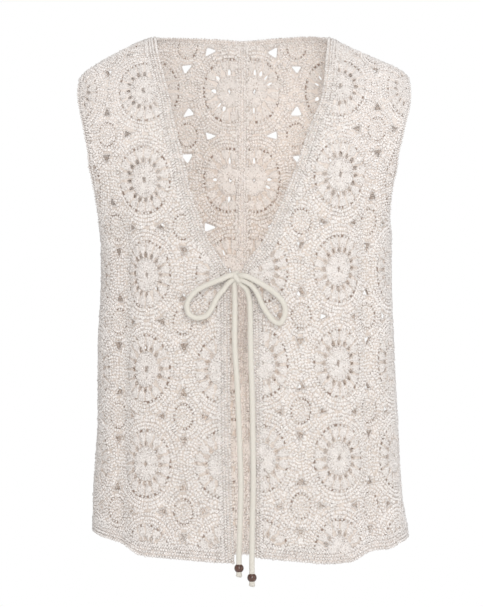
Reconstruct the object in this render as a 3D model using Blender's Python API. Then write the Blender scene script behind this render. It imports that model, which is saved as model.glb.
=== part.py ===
"""A sleeveless crochet vest, filled out as it is worn, with a cord bow at the foot of its V neck.

All sizes are in metres. +Z is up, the front faces -Y, and left and right are the wearer's, so +X
is the left. The origin lies at the wearer's shoulders, on the middle of the body. Every cloth
piece is drawn flat on its side of the vest, by its distance across from the centre line and its
distance along the cloth, and is then laid on the form.
"""

import math

import bmesh
import bpy
import numpy as np
from mathutils import Vector
from mathutils.geometry import delaunay_2d_cdt

# The cloth
WALL = 0.0030
SEAM_GAP = 0.0004
EDGING_WIDTH = 0.0125
HEM_WIDTH = 0.0135
ARMHOLE_EDGING = 0.0055
NECK_EDGING = 0.0090
SEAM_STRIP = 0.0120
EDGING_PROUD = 0.0006
# Facing walls at a seam are split along the same corner, found by each point's place along this
WALL_ORDER = np.array([0.21, 0.34, 0.92])

# The form
ROUNDNESS = 2.3
CHEST_LINE = -0.121
UNDERARM = -0.205
SHOULDER_ROUND = 2.1
NAPE_ROUND = 1.5
SHOULDER_SEAM_BACK = 0.005
NECK_HALF_WIDTH = 0.097
NECK_HOLLOW = 0.065
NORMAL_BLUR = 8
SIDE_HEM = {"left": -0.5365, "right": -0.5290}

BODY = (
    # height, left half width, right half width, front depth, back depth
    (-0.575, 0.1890, 0.1665, 0.1140, 0.1090),
    (-0.530, 0.1845, 0.1662, 0.1135, 0.1060),
    (-0.490, 0.1780, 0.1655, 0.1130, 0.1030),
    (-0.410, 0.1735, 0.1605, 0.1120, 0.0980),
    (-0.320, 0.1690, 0.1600, 0.1130, 0.0960),
    (-0.250, 0.1665, 0.1565, 0.1140, 0.0990),
    (-0.210, 0.1665, 0.1570, 0.1100, 0.1020),
    (-0.190, 0.1672, 0.1612, 0.1070, 0.1030),
    (-0.165, 0.1735, 0.1703, 0.1020, 0.1030),
    (-0.143, 0.1832, 0.1805, 0.0980, 0.1020),
    (-0.121, 0.1972, 0.1942, 0.0930, 0.1000),
    (-0.060, 0.1986, 0.1932, 0.0820, 0.0950),
    (0.030, 0.1986, 0.1932, 0.0700, 0.0880),
)

TOP_LINE = {
    "left": (
        # distance from the middle, height of the back neck or shoulder seam
        (0.0000, 0.0195),
        (0.0600, 0.0228),
        (0.0760, 0.0225),
        (0.0970, 0.0182),
        (0.1130, 0.0105),
        (0.1270, 0.0042),
        (0.1500, -0.0060),
        (0.1760, -0.0175),
        (0.1865, -0.0270),
        (0.1925, -0.0340),
    ),
    "right": (
        # distance from the middle, height of the back neck or shoulder seam
        (0.0000, 0.0195),
        (0.0470, 0.0218),
        (0.0760, 0.0210),
        (0.0970, 0.0185),
        (0.1170, 0.0122),
        (0.1280, 0.0068),
        (0.1520, -0.0056),
        (0.1710, -0.0175),
        (0.1812, -0.0270),
        (0.1872, -0.0340),
    ),
}

NECK_AND_FRONT = (
    # height, reach of the left front's edge, reach of the right front's edge
    (-0.575, 0.0090, 0.0080),
    (-0.430, 0.0090, 0.0125),
    (-0.285, 0.0080, 0.0135),
    (-0.262, 0.0045, 0.0135),
    (-0.246, 0.0000, 0.0145),
    (-0.230, 0.0085, 0.0240),
    (-0.210, 0.0235, 0.0365),
    (-0.185, 0.0360, 0.0465),
    (-0.153, 0.0500, 0.0575),
    (-0.122, 0.0620, 0.0640),
    (-0.098, 0.0700, 0.0700),
    (-0.074, 0.0790, 0.0760),
    (-0.056, 0.0865, 0.0790),
    (-0.031, 0.0910, 0.0850),
    (-0.001, 0.0940, 0.0930),
    (0.019, 0.0970, 0.0970),
)

ARMHOLE = (
    # height, edge's reach as a share of the half width
    (-0.205, 1.0000),
    (-0.199, 0.9955),
    (-0.190, 0.9860),
    (-0.165, 0.9530),
    (-0.143, 0.9200),
    (-0.121, 0.8740),
    (-0.099, 0.8930),
    (-0.077, 0.9180),
    (-0.058, 0.9400),
    (-0.044, 0.9460),
    (-0.030, 0.9390),
)

HEM = (
    # share of the way to the side seam, drop below it: left front, right front, back
    (0.00, 0.0155, 0.0316, 0.0335),
    (0.20, 0.0205, 0.0288, 0.0330),
    (0.40, 0.0248, 0.0258, 0.0308),
    (0.50, 0.0230, 0.0238, 0.0285),
    (0.58, 0.0150, 0.0170, 0.0248),
    (0.64, 0.0120, 0.0122, 0.0213),
    (0.72, 0.0108, 0.0080, 0.0162),
    (0.80, 0.0055, 0.0050, 0.0108),
    (1.00, 0.0000, 0.0000, 0.0000),
)

FOLDS = (
    # side, face, across at top, across at bottom, top, bottom, half width, depth
    ("left", "front", 0.147, 0.155, -0.130, -0.560, 0.015, 0.0065),
    ("right", "front", 0.141, 0.146, -0.150, -0.560, 0.015, 0.0065),
    ("left", "front", 0.060, 0.072, -0.300, -0.600, 0.018, 0.0025),
    ("right", "front", 0.068, 0.078, -0.330, -0.600, 0.018, 0.0030),
    ("left", "back", 0.146, 0.152, -0.120, -0.560, 0.016, 0.0055),
    ("right", "back", 0.150, 0.146, -0.140, -0.560, 0.016, 0.0060),
    ("left", "back", 0.064, 0.074, -0.260, -0.600, 0.018, 0.0035),
    ("right", "back", 0.058, 0.064, -0.240, -0.600, 0.018, 0.0030),
)

# The crochet repeat: big rounds on a lattice, a small round in the middle of each four
PITCH_ACROSS = 0.0875
PITCH_ALONG = 0.1030
FIRST_COLUMN = {"front": 0.0210, "back": 0.0145}
SMALL_COLUMN = {"front": 0.04375, "back": 0.0478}
FIRST_ROW = {
    "front": {"left": -0.0350, "right": -0.0412},
    "back": {"left": -0.0350, "right": -0.0350},
}
ROWS = range(-6, 2)
COLUMNS = range(0, 3)
BIG_ROUND = (
    # radius along the cloth, points, rise of the wall
    (0.0000, 1, 0.0016),
    (0.0120, 6, 0.0012),
    (0.0210, 8, 0.0000),
    (0.0285, 12, 0.0016),
    (0.0365, 12, 0.0000),
)
SMALL_ROUND = (
    # radius along the cloth, points, rise of the wall
    (0.0000, 1, 0.0012),
    (0.0120, 6, 0.0008),
)
EYES = {
    # face and way: nearest and furthest from the small round's middle, half width
    ("front", "along"): (0.0230, 0.0325, 0.0050),
    ("front", "across"): (0.0210, 0.0295, 0.0043),
    ("back", "along"): (0.0215, 0.0325, 0.0060),
    ("back", "across"): (0.0215, 0.0350, 0.0056),
}
NAPE_EYE_DROP = 0.0068
EYE_TO_EDGE = 0.0022
RISE_TO_EDGE = 0.0035
RISE_TO_EYE = 0.0030

# How finely the form is laid out, and how far past its edges
GRID_STEP = 0.002
GRID_ACROSS = (-0.030, 0.264)
GRID_ALONG = (-0.600, 0.140)
SECTION_POINTS = 240
PAST_SEAM_TURN = 0.30
PAST_SEAM_POINTS = 40
PAST_CENTRE = 0.040
COLUMN_POINTS = 160
COLUMN_CROWDING = 1.6
PAST_TOP = 0.060
FOLD_FADE = 0.080
SQUARE_FROM = 0.0015
SQUARE_TO = 0.0075

# Where the cutting lines have their points
FRONT_STRAIGHT = {"top": -0.290, "points": 9}
FRONT_CURVES = ((-0.275, -0.185, 8), (-0.170, 0.005, 12))
NECK_POINTS = 13
UNDERARM_HEIGHTS = (-0.2050, -0.2015, -0.1970)
ARMHOLE_CURVE = (-0.190, -0.038, 15)
UNDERARM_SPREAD = 1.15
HEM_POINTS = 17
SIDE_POINTS = 22
SHOULDER_POINTS = 9
CENTRE_POINTS = 26
STRIP_POINTS = 27
SHARP_ANGLE = math.radians(50)

# The ties: round cord, a knot, two loops, two hanging ends with a bead and an end knot on each
CORD = 0.0060
CORD_STEP = 0.0120
CORD_ROUNDNESS = 3
ROUTE_READS = 24
KNOT_CENTRE = (-0.0054, -0.1224, -0.2502)
KNOT_RADII = (0.0074, 0.0062, 0.0072)
BEAD_RADIUS = 0.0051
BEAD_FACE = 0.0028
END_KNOT_RADIUS = 0.0035
END_KNOT_FACE = 0.0026
END_KNOT_LENGTH = 0.0055
BEAD_RINGS = 8
BEAD_SIDES = 14
END_KNOT_RINGS = 4
END_KNOT_SIDES = 10

LOOPS = {
    "left": (
        # x, y, z, from the knot out along the top and back to the knot below
        (0.0030, -0.1278, -0.2490),
        (0.0129, -0.1270, -0.2534),
        (0.0280, -0.1250, -0.2621),
        (0.0396, -0.1235, -0.2716),
        (0.0456, -0.1225, -0.2804),
        (0.0464, -0.1215, -0.2901),
        (0.0420, -0.1205, -0.2993),
        (0.0356, -0.1200, -0.2987),
        (0.0286, -0.1202, -0.2912),
        (0.0216, -0.1210, -0.2799),
        (0.0167, -0.1225, -0.2685),
        (0.0108, -0.1238, -0.2599),
        (0.0032, -0.1238, -0.2548),
    ),
    "right": (
        # x, y, z, from the knot out along the top and back to the knot below
        (-0.0135, -0.1262, -0.2488),
        (-0.0216, -0.1262, -0.2524),
        (-0.0399, -0.1240, -0.2599),
        (-0.0507, -0.1222, -0.2664),
        (-0.0582, -0.1205, -0.2762),
        (-0.0593, -0.1192, -0.2847),
        (-0.0561, -0.1185, -0.2912),
        (-0.0485, -0.1182, -0.2944),
        (-0.0388, -0.1190, -0.2922),
        (-0.0323, -0.1202, -0.2836),
        (-0.0270, -0.1212, -0.2728),
        (-0.0194, -0.1222, -0.2631),
        (-0.0130, -0.1226, -0.2552),
    ),
}

ENDS = {
    "left": (
        # x, y, z, from the knot down to the bead
        (-0.0014, -0.1188, -0.2575),
        (0.0043, -0.1184, -0.2625),
        (0.0075, -0.1184, -0.2718),
        (0.0089, -0.1184, -0.2858),
        (0.0092, -0.1184, -0.3235),
        (0.0100, -0.1184, -0.3505),
        (0.0111, -0.1184, -0.3828),
        (0.0119, -0.1184, -0.4367),
        (0.0121, -0.1184, -0.4766),
        (0.0113, -0.1184, -0.5122),
        (0.0108, -0.1184, -0.5499),
        (0.0108, -0.1184, -0.5704),
    ),
    "right": (
        # x, y, z, from the knot down to the bead
        (-0.0082, -0.1186, -0.2570),
        (-0.0078, -0.1182, -0.2660),
        (-0.0076, -0.1180, -0.2858),
        (-0.0078, -0.1180, -0.3235),
        (-0.0061, -0.1180, -0.3505),
        (-0.0043, -0.1180, -0.3828),
        (-0.0022, -0.1180, -0.4367),
        (-0.0011, -0.1180, -0.4766),
        (-0.0022, -0.1180, -0.5197),
        (-0.0032, -0.1180, -0.5499),
        (-0.0032, -0.1180, -0.5602),
    ),
}

ROOTS = {
    "left": ((0.0000, -0.1194, -0.2500), (0.0060, -0.1187, -0.2508), (0.0120, -0.1190, -0.2530)),
    "right": ((-0.0108, -0.1194, -0.2500), (-0.0168, -0.1187, -0.2510), (-0.0230, -0.1189, -0.2530)),
}

# Finishes
CREAM = (0.80, 0.745, 0.685, 1.0)
IVORY = (0.80, 0.77, 0.69, 1.0)
DARK_WOOD = (0.055, 0.022, 0.012, 1.0)


def clear_scene():
    """Removes what the scene holds."""
    for thing in list(bpy.data.objects):
        bpy.data.objects.remove(thing)


def finish(name, colour, roughness):
    """Makes a plain material of one colour."""
    material = bpy.data.materials.new(name)
    material.use_nodes = True
    shader = material.node_tree.nodes["Principled BSDF"]
    shader.inputs["Base Color"].default_value = colour
    shader.inputs["Roughness"].default_value = roughness
    shader.inputs["Metallic"].default_value = 0.0
    return material


def smooth_curve(places, values, at):
    """Reads a smooth curve through the points, which never overshoots them."""
    places = np.asarray(places, float)
    values = np.asarray(values, float)
    at = np.asarray(at, float)
    steps = np.diff(places)
    slopes = np.diff(values) / steps
    tangents = np.zeros(len(places))
    tangents[0] = slopes[0]
    tangents[-1] = slopes[-1]
    before, after = slopes[:-1], slopes[1:]
    same = before * after > 0.0
    tangents[1:-1][same] = 2.0 * before[same] * after[same] / (before[same] + after[same])
    i = np.clip(np.searchsorted(places, at) - 1, 0, len(steps) - 1)
    t = (at - places[i]) / steps[i]
    h = steps[i]
    rise = values[i] * (2 * t**3 - 3 * t**2 + 1) + values[i + 1] * (3 * t**2 - 2 * t**3)
    return rise + tangents[i] * h * (t**3 - 2 * t**2 + t) + tangents[i + 1] * h * (t**3 - t**2)


def column_of(table, column):
    """Takes one column of a table as an array."""
    return np.array([row[column] for row in table], float)


def bell(x):
    """A soft hump, 1 at the middle and 0 far out."""
    return np.exp(-x * x)


class Sheet:
    """The front or back of one side, read by distance across and distance along the cloth.

    Across is measured round the body from the centre line. Along is the height up to the chest
    line, and above it the chest line's height plus the distance up the cloth.
    """

    ACROSS = np.arange(*GRID_ACROSS, GRID_STEP)
    ALONG = np.arange(*GRID_ALONG, GRID_STEP)

    def __init__(self, side, face):
        self.side = side
        self.face = face
        self.sign = 1.0 if side == "left" else -1.0
        self.out = -1.0 if face == "front" else 1.0
        self.heights = column_of(BODY, 0)
        self.widths = column_of(BODY, 1 if side == "left" else 2)
        self.depths = column_of(BODY, 3 if face == "front" else 4)
        self.other_depths = column_of(BODY, 4 if face == "front" else 3)
        self.chest_walked, self.chest_x, _, _ = self.section(CHEST_LINE)
        self.points = self.lay_out()
        self.normals = self.find_normals()
        self.points = self.points + self.normals * self.fold_depths()[..., None]
        self.normals = self.find_normals()

    def half_width(self, height):
        """Half width of the body at a height."""
        return smooth_curve(self.heights, self.widths, height)

    def depth(self, height):
        """Depth of this face of the body at a height."""
        return smooth_curve(self.heights, self.depths, height)

    def section(self, height):
        """Walks the body's outline at a height: distance across, x and y."""
        width = float(self.half_width(height))
        depth = float(self.depth(height))
        other = float(smooth_curve(self.heights, self.other_depths, height))
        power = 2.0 / ROUNDNESS
        turn = np.linspace(0.0, math.pi / 2, SECTION_POINTS)
        past = np.linspace(math.pi / 2, math.pi / 2 + PAST_SEAM_TURN, PAST_SEAM_POINTS)[1:]
        x = width * np.sin(np.concatenate([turn, past])) ** power
        y_own = self.out * depth * np.cos(turn) ** power
        y_own[-1] = 0.0
        y_past = -self.out * other * np.abs(np.cos(past)) ** power
        y = np.concatenate([y_own, y_past])
        walked = np.concatenate([[0.0], np.cumsum(np.hypot(np.diff(x), np.diff(y)))])
        near = walked < PAST_CENTRE
        mirror = slice(1, int(near.sum()))
        walked_all = np.concatenate([-walked[mirror][::-1], walked])
        x_all = np.concatenate([-x[mirror][::-1], x])
        y_all = np.concatenate([y[mirror][::-1], y])
        return walked_all, x_all, y_all, float(walked[SECTION_POINTS - 1])

    def side_reach(self, height):
        """Distance across from the centre line to the side seam."""
        return self.section(height)[3]

    def top_height(self, x):
        """Height of the back neck or the shoulder seam."""
        line = TOP_LINE[self.side]
        return smooth_curve(column_of(line, 0), column_of(line, 1), np.abs(x))

    def top_back(self, x):
        """How far back of the middle the top edge lies."""
        if self.face == "front":
            return np.full_like(np.asarray(x, float), SHOULDER_SEAM_BACK)
        share = np.clip(np.abs(x) / NECK_HALF_WIDTH, 0.0, 1.0)
        return SHOULDER_SEAM_BACK + NECK_HOLLOW * np.sqrt(1.0 - share**2)

    def column(self, x):
        """Walks up the cloth from the chest line at one distance from the middle."""
        top = float(self.top_height(x))
        back = float(self.top_back(x))
        share = min(abs(x) / NECK_HALF_WIDTH, 1.0)
        rounding = SHOULDER_ROUND
        if self.face == "back":
            rounding = NAPE_ROUND + (SHOULDER_ROUND - NAPE_ROUND) * share**2
        drop = np.linspace(1.0, 0.0, COLUMN_POINTS) ** COLUMN_CROWDING
        z = top - drop * (top - CHEST_LINE)
        width = self.half_width(z)
        bulge = (1.0 - np.minimum(abs(x) / width, 1.0) ** ROUNDNESS) ** (1.0 / ROUNDNESS)
        hang = self.out * self.depth(z) * bulge
        taper = (1.0 - (1.0 - drop) ** rounding) ** (1.0 / rounding)
        y = back + (hang - back) * taper
        walked = np.concatenate([[0.0], np.cumsum(np.hypot(np.diff(y), np.diff(z)))])
        return walked, y, z

    def top_along(self, x):
        """Distance along the cloth at the top edge."""
        return CHEST_LINE + float(self.column(x)[0][-1])

    def across_at(self, x, height):
        """Distance across of a point that lies x from the middle at a height."""
        walked, xs, _, reach = self.section(min(height, CHEST_LINE))
        inside = walked <= reach
        return float(np.interp(x, xs[inside], walked[inside]))

    def cloth_point(self, x, height):
        """Finds the cloth's across and along for a point seen from the front."""
        across = self.across_at(x, height)
        if height <= CHEST_LINE:
            return across, height
        walked, _, z = self.column(x)
        return across, CHEST_LINE + float(np.interp(height, z, walked))

    def lay_out(self):
        """Works out the form on a fine grid of across and along."""
        grid = np.zeros((len(self.ALONG), len(self.ACROSS), 3))
        low = self.ALONG <= CHEST_LINE
        for i in np.flatnonzero(low):
            walked, xs, ys, _ = self.section(self.ALONG[i])
            grid[i, :, 0] = np.interp(self.ACROSS, walked, xs)
            grid[i, :, 1] = np.interp(self.ACROSS, walked, ys)
            grid[i, :, 2] = self.ALONG[i]
        climb = self.ALONG[~low] - CHEST_LINE
        for j, x in enumerate(np.interp(self.ACROSS, self.chest_walked, self.chest_x)):
            walked, y, z = self.column(x)
            walked = np.append(walked, walked[-1] + PAST_TOP)
            y = np.append(y, y[-1] - self.out * PAST_TOP)
            z = np.append(z, z[-1])
            grid[~low, j, 0] = x
            grid[~low, j, 1] = np.interp(climb, walked, y)
            grid[~low, j, 2] = np.interp(climb, walked, z)
        return grid

    def find_normals(self):
        """Finds the outward direction over the grid."""
        along = np.gradient(self.points, axis=0)
        across = np.gradient(self.points, axis=1)
        normals = np.cross(across, along) * -self.out
        normals /= np.maximum(np.linalg.norm(normals, axis=2, keepdims=True), 1e-12)
        for axis in (0, 1):
            for _ in range(NORMAL_BLUR):
                before = np.roll(normals, 1, axis=axis)
                after = np.roll(normals, -1, axis=axis)
                normals = (before + 2.0 * normals + after) / 4.0
        return normals / np.maximum(np.linalg.norm(normals, axis=2, keepdims=True), 1e-12)

    def fold_depths(self):
        """How far each place lies in or out for the vest's long soft folds."""
        across, along = np.meshgrid(self.ACROSS, self.ALONG)
        depths = np.zeros_like(across)
        for side, face, at_top, at_bottom, top, bottom, half_width, depth in FOLDS:
            if (side, face) != (self.side, self.face):
                continue
            way = np.clip((top - along) / (top - bottom), 0.0, 1.0)
            middle = at_top + (at_bottom - at_top) * way
            fade_in = np.clip((top - along) / FOLD_FADE, 0.0, 1.0)
            swell = fade_in * fade_in * (3.0 - 2.0 * fade_in)
            depths -= depth * swell * bell((across - middle) / half_width)
        return depths

    def read(self, flat, proud=0.0):
        """Lays flat points on the form, proud of its outer skin."""
        flat = np.asarray(flat, float)
        i = (flat[:, 1] - self.ALONG[0]) / GRID_STEP
        j = (flat[:, 0] - self.ACROSS[0]) / GRID_STEP
        i0 = np.clip(np.floor(i).astype(int), 0, len(self.ALONG) - 2)
        j0 = np.clip(np.floor(j).astype(int), 0, len(self.ACROSS) - 2)
        a = (i - i0)[:, None]
        b = (j - j0)[:, None]

        def blend(grid):
            lower = grid[i0, j0] * (1 - b) + grid[i0, j0 + 1] * b
            upper = grid[i0 + 1, j0] * (1 - b) + grid[i0 + 1, j0 + 1] * b
            return lower * (1 - a) + upper * a

        points = blend(self.points)
        normals = blend(self.normals)
        normals = normals / np.linalg.norm(normals, axis=1, keepdims=True)
        normals = self.square_to_seams(flat, normals)
        laid = points + normals * np.asarray(proud, float).reshape(-1, 1)
        laid[:, 0] *= self.sign
        return laid, normals * np.array([self.sign, 1.0, 1.0])

    def square_to_seams(self, flat, normals):
        """Keeps a wall's ends square at the side and shoulder seams, so that both sides agree."""
        normals = normals.copy()
        for k, (across, along) in enumerate(flat):
            x = float(np.interp(across, self.chest_walked, self.chest_x))
            if along <= UNDERARM + SEAM_GAP:
                to_seam = abs(self.side_reach(along) - across)
            elif along > CHEST_LINE and x >= NECK_HALF_WIDTH:
                to_seam = abs(self.top_along(x) - along)
            else:
                continue
            normals[k, 1] *= float(np.clip((to_seam - SQUARE_FROM) / (SQUARE_TO - SQUARE_FROM), 0.0, 1.0))
        return normals / np.linalg.norm(normals, axis=1, keepdims=True)


def offset_line(line, distance, start, end):
    """Moves a flat line to the right of its travel and sets its two ends on the lines they meet."""
    line = np.asarray(line, float)
    ahead = np.gradient(line, axis=0)
    ahead /= np.linalg.norm(ahead, axis=1, keepdims=True)
    moved = line + np.column_stack([ahead[:, 1], -ahead[:, 0]]) * distance
    moved[0] = start
    moved[-1] = end
    return moved


class Cut:
    """The flat cutting lines of one side and face: edges, seams and hem."""

    def __init__(self, sheet):
        self.sheet = sheet
        self.face = sheet.face
        self.inner = SEAM_STRIP / 2 if self.face == "back" else 0.0

    def hem_at(self, across):
        """Height of the hem at a distance across."""
        column = 3 if self.face == "back" else (1 if self.sheet.side == "left" else 2)
        side_hem = SIDE_HEM[self.sheet.side]
        share = np.clip(across / self.sheet.side_reach(side_hem), 0.0, 1.0)
        return side_hem - smooth_curve(column_of(HEM, 0), column_of(HEM, column), share)

    def front_line(self):
        """The front and neck edge, from the hem up to the shoulder seam."""
        column = 1 if self.sheet.side == "left" else 2
        reach = column_of(NECK_AND_FRONT, column)
        heights = column_of(NECK_AND_FRONT, 0)
        start = float(self.hem_at(reach[0]))
        straight = np.linspace(start + HEM_WIDTH, FRONT_STRAIGHT["top"], FRONT_STRAIGHT["points"])
        curved = [np.linspace(*stretch) for stretch in FRONT_CURVES]
        line = []
        for height in np.concatenate([[start], straight, *curved]):
            x = float(smooth_curve(heights, reach, height))
            line.append(self.sheet.cloth_point(x, float(height)))
        line.append((self.sheet.across_at(NECK_HALF_WIDTH, 0.0), self.sheet.top_along(NECK_HALF_WIDTH)))
        return np.array(line)

    def neck_line(self):
        """The back neck edge, from the shoulder seam down to the centre back."""
        line = []
        for turn in np.linspace(math.pi / 2, 0.0, NECK_POINTS):
            x = NECK_HALF_WIDTH * math.sin(turn)
            line.append((self.sheet.across_at(x, 0.0), self.sheet.top_along(x)))
        line[-1] = (SEAM_GAP / 2, line[-1][1])
        return np.array(line)

    def armhole_line(self):
        """The armhole's edge, from the underarm up to the shoulder's tip."""
        heights = column_of(ARMHOLE, 0)
        shares = column_of(ARMHOLE, 1)
        line = []
        for height in np.concatenate([UNDERARM_HEIGHTS, np.linspace(*ARMHOLE_CURVE)]):
            x = float(smooth_curve(heights, shares, height)) * float(self.sheet.half_width(height))
            line.append(self.sheet.cloth_point(x, float(height)))
        x = float(shares[-1] * self.sheet.half_width(0.0))
        line.append((self.sheet.across_at(x, 0.0), self.sheet.top_along(x)))
        return np.array(line)

    def on_shoulder(self, across):
        """A point of the shoulder seam, half a gap short of it."""
        x = float(np.interp(across, self.sheet.chest_walked, self.sheet.chest_x))
        return across, self.sheet.top_along(x) - SEAM_GAP / 2

    def on_side(self, height):
        """A point of the side seam, half a gap short of it."""
        return self.sheet.side_reach(height) - SEAM_GAP / 2, height

    def front_offset(self, distance):
        """The front edge moved in by a distance, its ends on the hem and the shoulder seam."""
        line = self.front_line()
        across = line[0][0] + distance
        end = self.on_shoulder(line[-1][0] + distance)
        return offset_line(line, distance, (across, float(self.hem_at(across))), end)

    def neck_offset(self, distance):
        """The back neck moved in by a distance, from the centre back to the shoulder seam."""
        line = self.neck_line()[::-1]
        start = (line[0][0], line[0][1] - distance)
        return offset_line(line, distance, start, self.on_shoulder(line[-1][0] + distance))

    def armhole_offset(self, distance):
        """The armhole's edge moved in by a distance, its ends on the side and shoulder seams."""
        line = self.armhole_line()
        start = self.on_side(line[0][1] - distance * UNDERARM_SPREAD)
        return offset_line(line, -distance, start, self.on_shoulder(line[-1][0] - distance))

    def hem_offset(self, distance, start):
        """The hem moved up by a distance, from a start across to the side seam."""
        side_hem = SIDE_HEM[self.sheet.side]
        end = self.on_side(side_hem + distance)[0]
        stations = np.linspace(start, end, HEM_POINTS)
        heights = [float(self.hem_at(across)) + distance for across in stations]
        heights[-1] = side_hem + distance
        return np.column_stack([stations, heights])

    def side_line(self, low, high):
        """The side seam between two heights."""
        return np.array([self.on_side(height) for height in np.linspace(low, high, SIDE_POINTS)])

    def shoulder_line(self, start, end):
        """The shoulder seam between two distances across."""
        return np.array([self.on_shoulder(across) for across in np.linspace(start, end, SHOULDER_POINTS)])

    def panel(self):
        """The panel's outline inside its edgings."""
        side_hem = SIDE_HEM[self.sheet.side]
        armhole = self.armhole_offset(ARMHOLE_EDGING + SEAM_GAP)
        if self.face == "front":
            inner = self.front_offset(EDGING_WIDTH + SEAM_GAP)
            hem = self.hem_offset(HEM_WIDTH + SEAM_GAP, inner[1][0])
            inner = inner[2:]
        else:
            inner = self.neck_offset(NECK_EDGING + SEAM_GAP)
            start = self.inner + SEAM_GAP
            inner[0] = (start, inner[0][1])
            bottom = float(self.hem_at(start)) + HEM_WIDTH + SEAM_GAP
            centre = np.linspace(bottom, inner[0][1], CENTRE_POINTS)[1:-1]
            hem = self.hem_offset(HEM_WIDTH + SEAM_GAP, start)
            inner = np.vstack([np.column_stack([np.full(len(centre), start), centre]), inner])
        side = self.side_line(side_hem + HEM_WIDTH + SEAM_GAP, armhole[0][1])
        shoulder = self.shoulder_line(armhole[-1][0], inner[-1][0])
        return np.vstack([hem, side[1:-1], armhole, shoulder[1:-1], inner[::-1]])

    def front_edging(self):
        """The strip along the front and the neck."""
        outer = self.front_offset(0.0)
        return np.vstack([self.front_offset(EDGING_WIDTH), outer[::-1]])

    def neck_edging(self):
        """The strip along the back neck."""
        outer = self.neck_offset(0.0)
        return np.vstack([self.neck_offset(NECK_EDGING), outer[::-1]])

    def armhole_edging(self):
        """The strip along the armhole."""
        return np.vstack([self.armhole_offset(0.0), self.armhole_offset(ARMHOLE_EDGING)[::-1]])

    def hem_band(self):
        """The strip along the hem."""
        if self.face == "front":
            low, high = self.front_offset(EDGING_WIDTH + SEAM_GAP)[:2, 0]
        else:
            low = high = self.inner + SEAM_GAP
        return np.vstack([self.hem_offset(0.0, low), self.hem_offset(HEM_WIDTH, high)[::-1]])

    def seam_strip(self):
        """The ribbed strip down the centre back."""
        half = self.inner
        top = float(self.neck_offset(NECK_EDGING + SEAM_GAP)[0][1])
        bottom = float(self.hem_at(0.0))
        heights = np.linspace(bottom, top, STRIP_POINTS)
        right = np.column_stack([np.full(len(heights), half), heights])
        left = np.column_stack([np.full(len(heights), -half), heights])
        return np.vstack([right, left[::-1]])


def rounds_on(side, face):
    """Lists the centres of the big and small rounds in the flat cloth."""
    big = []
    small = []
    for row in ROWS:
        along = FIRST_ROW[face][side] + row * PITCH_ALONG
        for column in COLUMNS:
            across = FIRST_COLUMN[face] + column * PITCH_ACROSS
            big.append((across, along))
            small.append((across + SMALL_COLUMN[face], along + PITCH_ALONG / 2))
    return big, small


def ring_points(centre, radius, count):
    """Points round a centre. Rounds are drawn taller than wide, as the cloth hangs."""
    squeeze = PITCH_ACROSS / PITCH_ALONG
    points = []
    for k in range(count):
        turn = 2 * math.pi * (k + 0.5) / count
        points.append((centre[0] + radius * squeeze * math.cos(turn), centre[1] + radius * math.sin(turn)))
    return points


def eyes_round(centre, face):
    """The four pointed gaps round a small round, each with its base towards it.

    At the nape the neck edging pushes the gap on the centre's side down, and closes the outer one.
    """
    at_nape = face == "back" and centre[1] > 0.0
    eyes = []
    for way, (dx, dy) in (("along", (0, 1)), ("across", (1, 0)), ("along", (0, -1)), ("across", (-1, 0))):
        if at_nape and dx > 0:
            continue
        drop = NAPE_EYE_DROP if at_nape and dx < 0 else 0.0
        near, far, half = EYES[face, way]
        corners = ((near, -half), (near, half), (far, 0.0))
        eyes.append([(centre[0] + dx * r - dy * s, centre[1] + dy * r + dx * s - drop) for r, s in corners])
    return eyes


def inside(point, loop):
    """Says whether a flat point lies inside a loop."""
    x, y = point
    found = False
    count = len(loop)
    for k in range(count):
        x0, y0 = loop[k]
        x1, y1 = loop[(k + 1) % count]
        if (y0 > y) != (y1 > y) and x < (x1 - x0) * (y - y0) / (y1 - y0) + x0:
            found = not found
    return found


def distance_to_loop(point, loop):
    """Shortest distance from a flat point to a loop."""
    loop = np.asarray(loop, float)
    start = loop
    run = np.roll(loop, -1, axis=0) - start
    away = np.asarray(point, float) - start
    share = np.clip((away * run).sum(axis=1) / np.maximum((run * run).sum(axis=1), 1e-18), 0.0, 1.0)
    return float(np.linalg.norm(away - run * share[:, None], axis=1).min())


def panel_detail(outline, side, face):
    """Chooses a panel's gaps and raised points: those that lie wholly on the panel."""
    big, small = rounds_on(side, face)
    eyes = []
    for centre in small:
        for eye in eyes_round(centre, face):
            clear = [distance_to_loop(corner, outline) > EYE_TO_EDGE for corner in eye]
            if all(clear) and all(inside(corner, outline) for corner in eye):
                eyes.append(eye)
    raised = []
    for centres, rings in ((big, BIG_ROUND), (small, SMALL_ROUND)):
        for centre in centres:
            for radius, count, rise in rings:
                raised += [(point, rise) for point in ring_points(centre, radius, count)]
    kept = []
    for point, rise in raised:
        if not inside(point, outline) or distance_to_loop(point, outline) < RISE_TO_EDGE:
            continue
        if any(distance_to_loop(point, eye) < RISE_TO_EYE for eye in eyes):
            continue
        kept.append((point, rise))
    return eyes, kept


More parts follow.
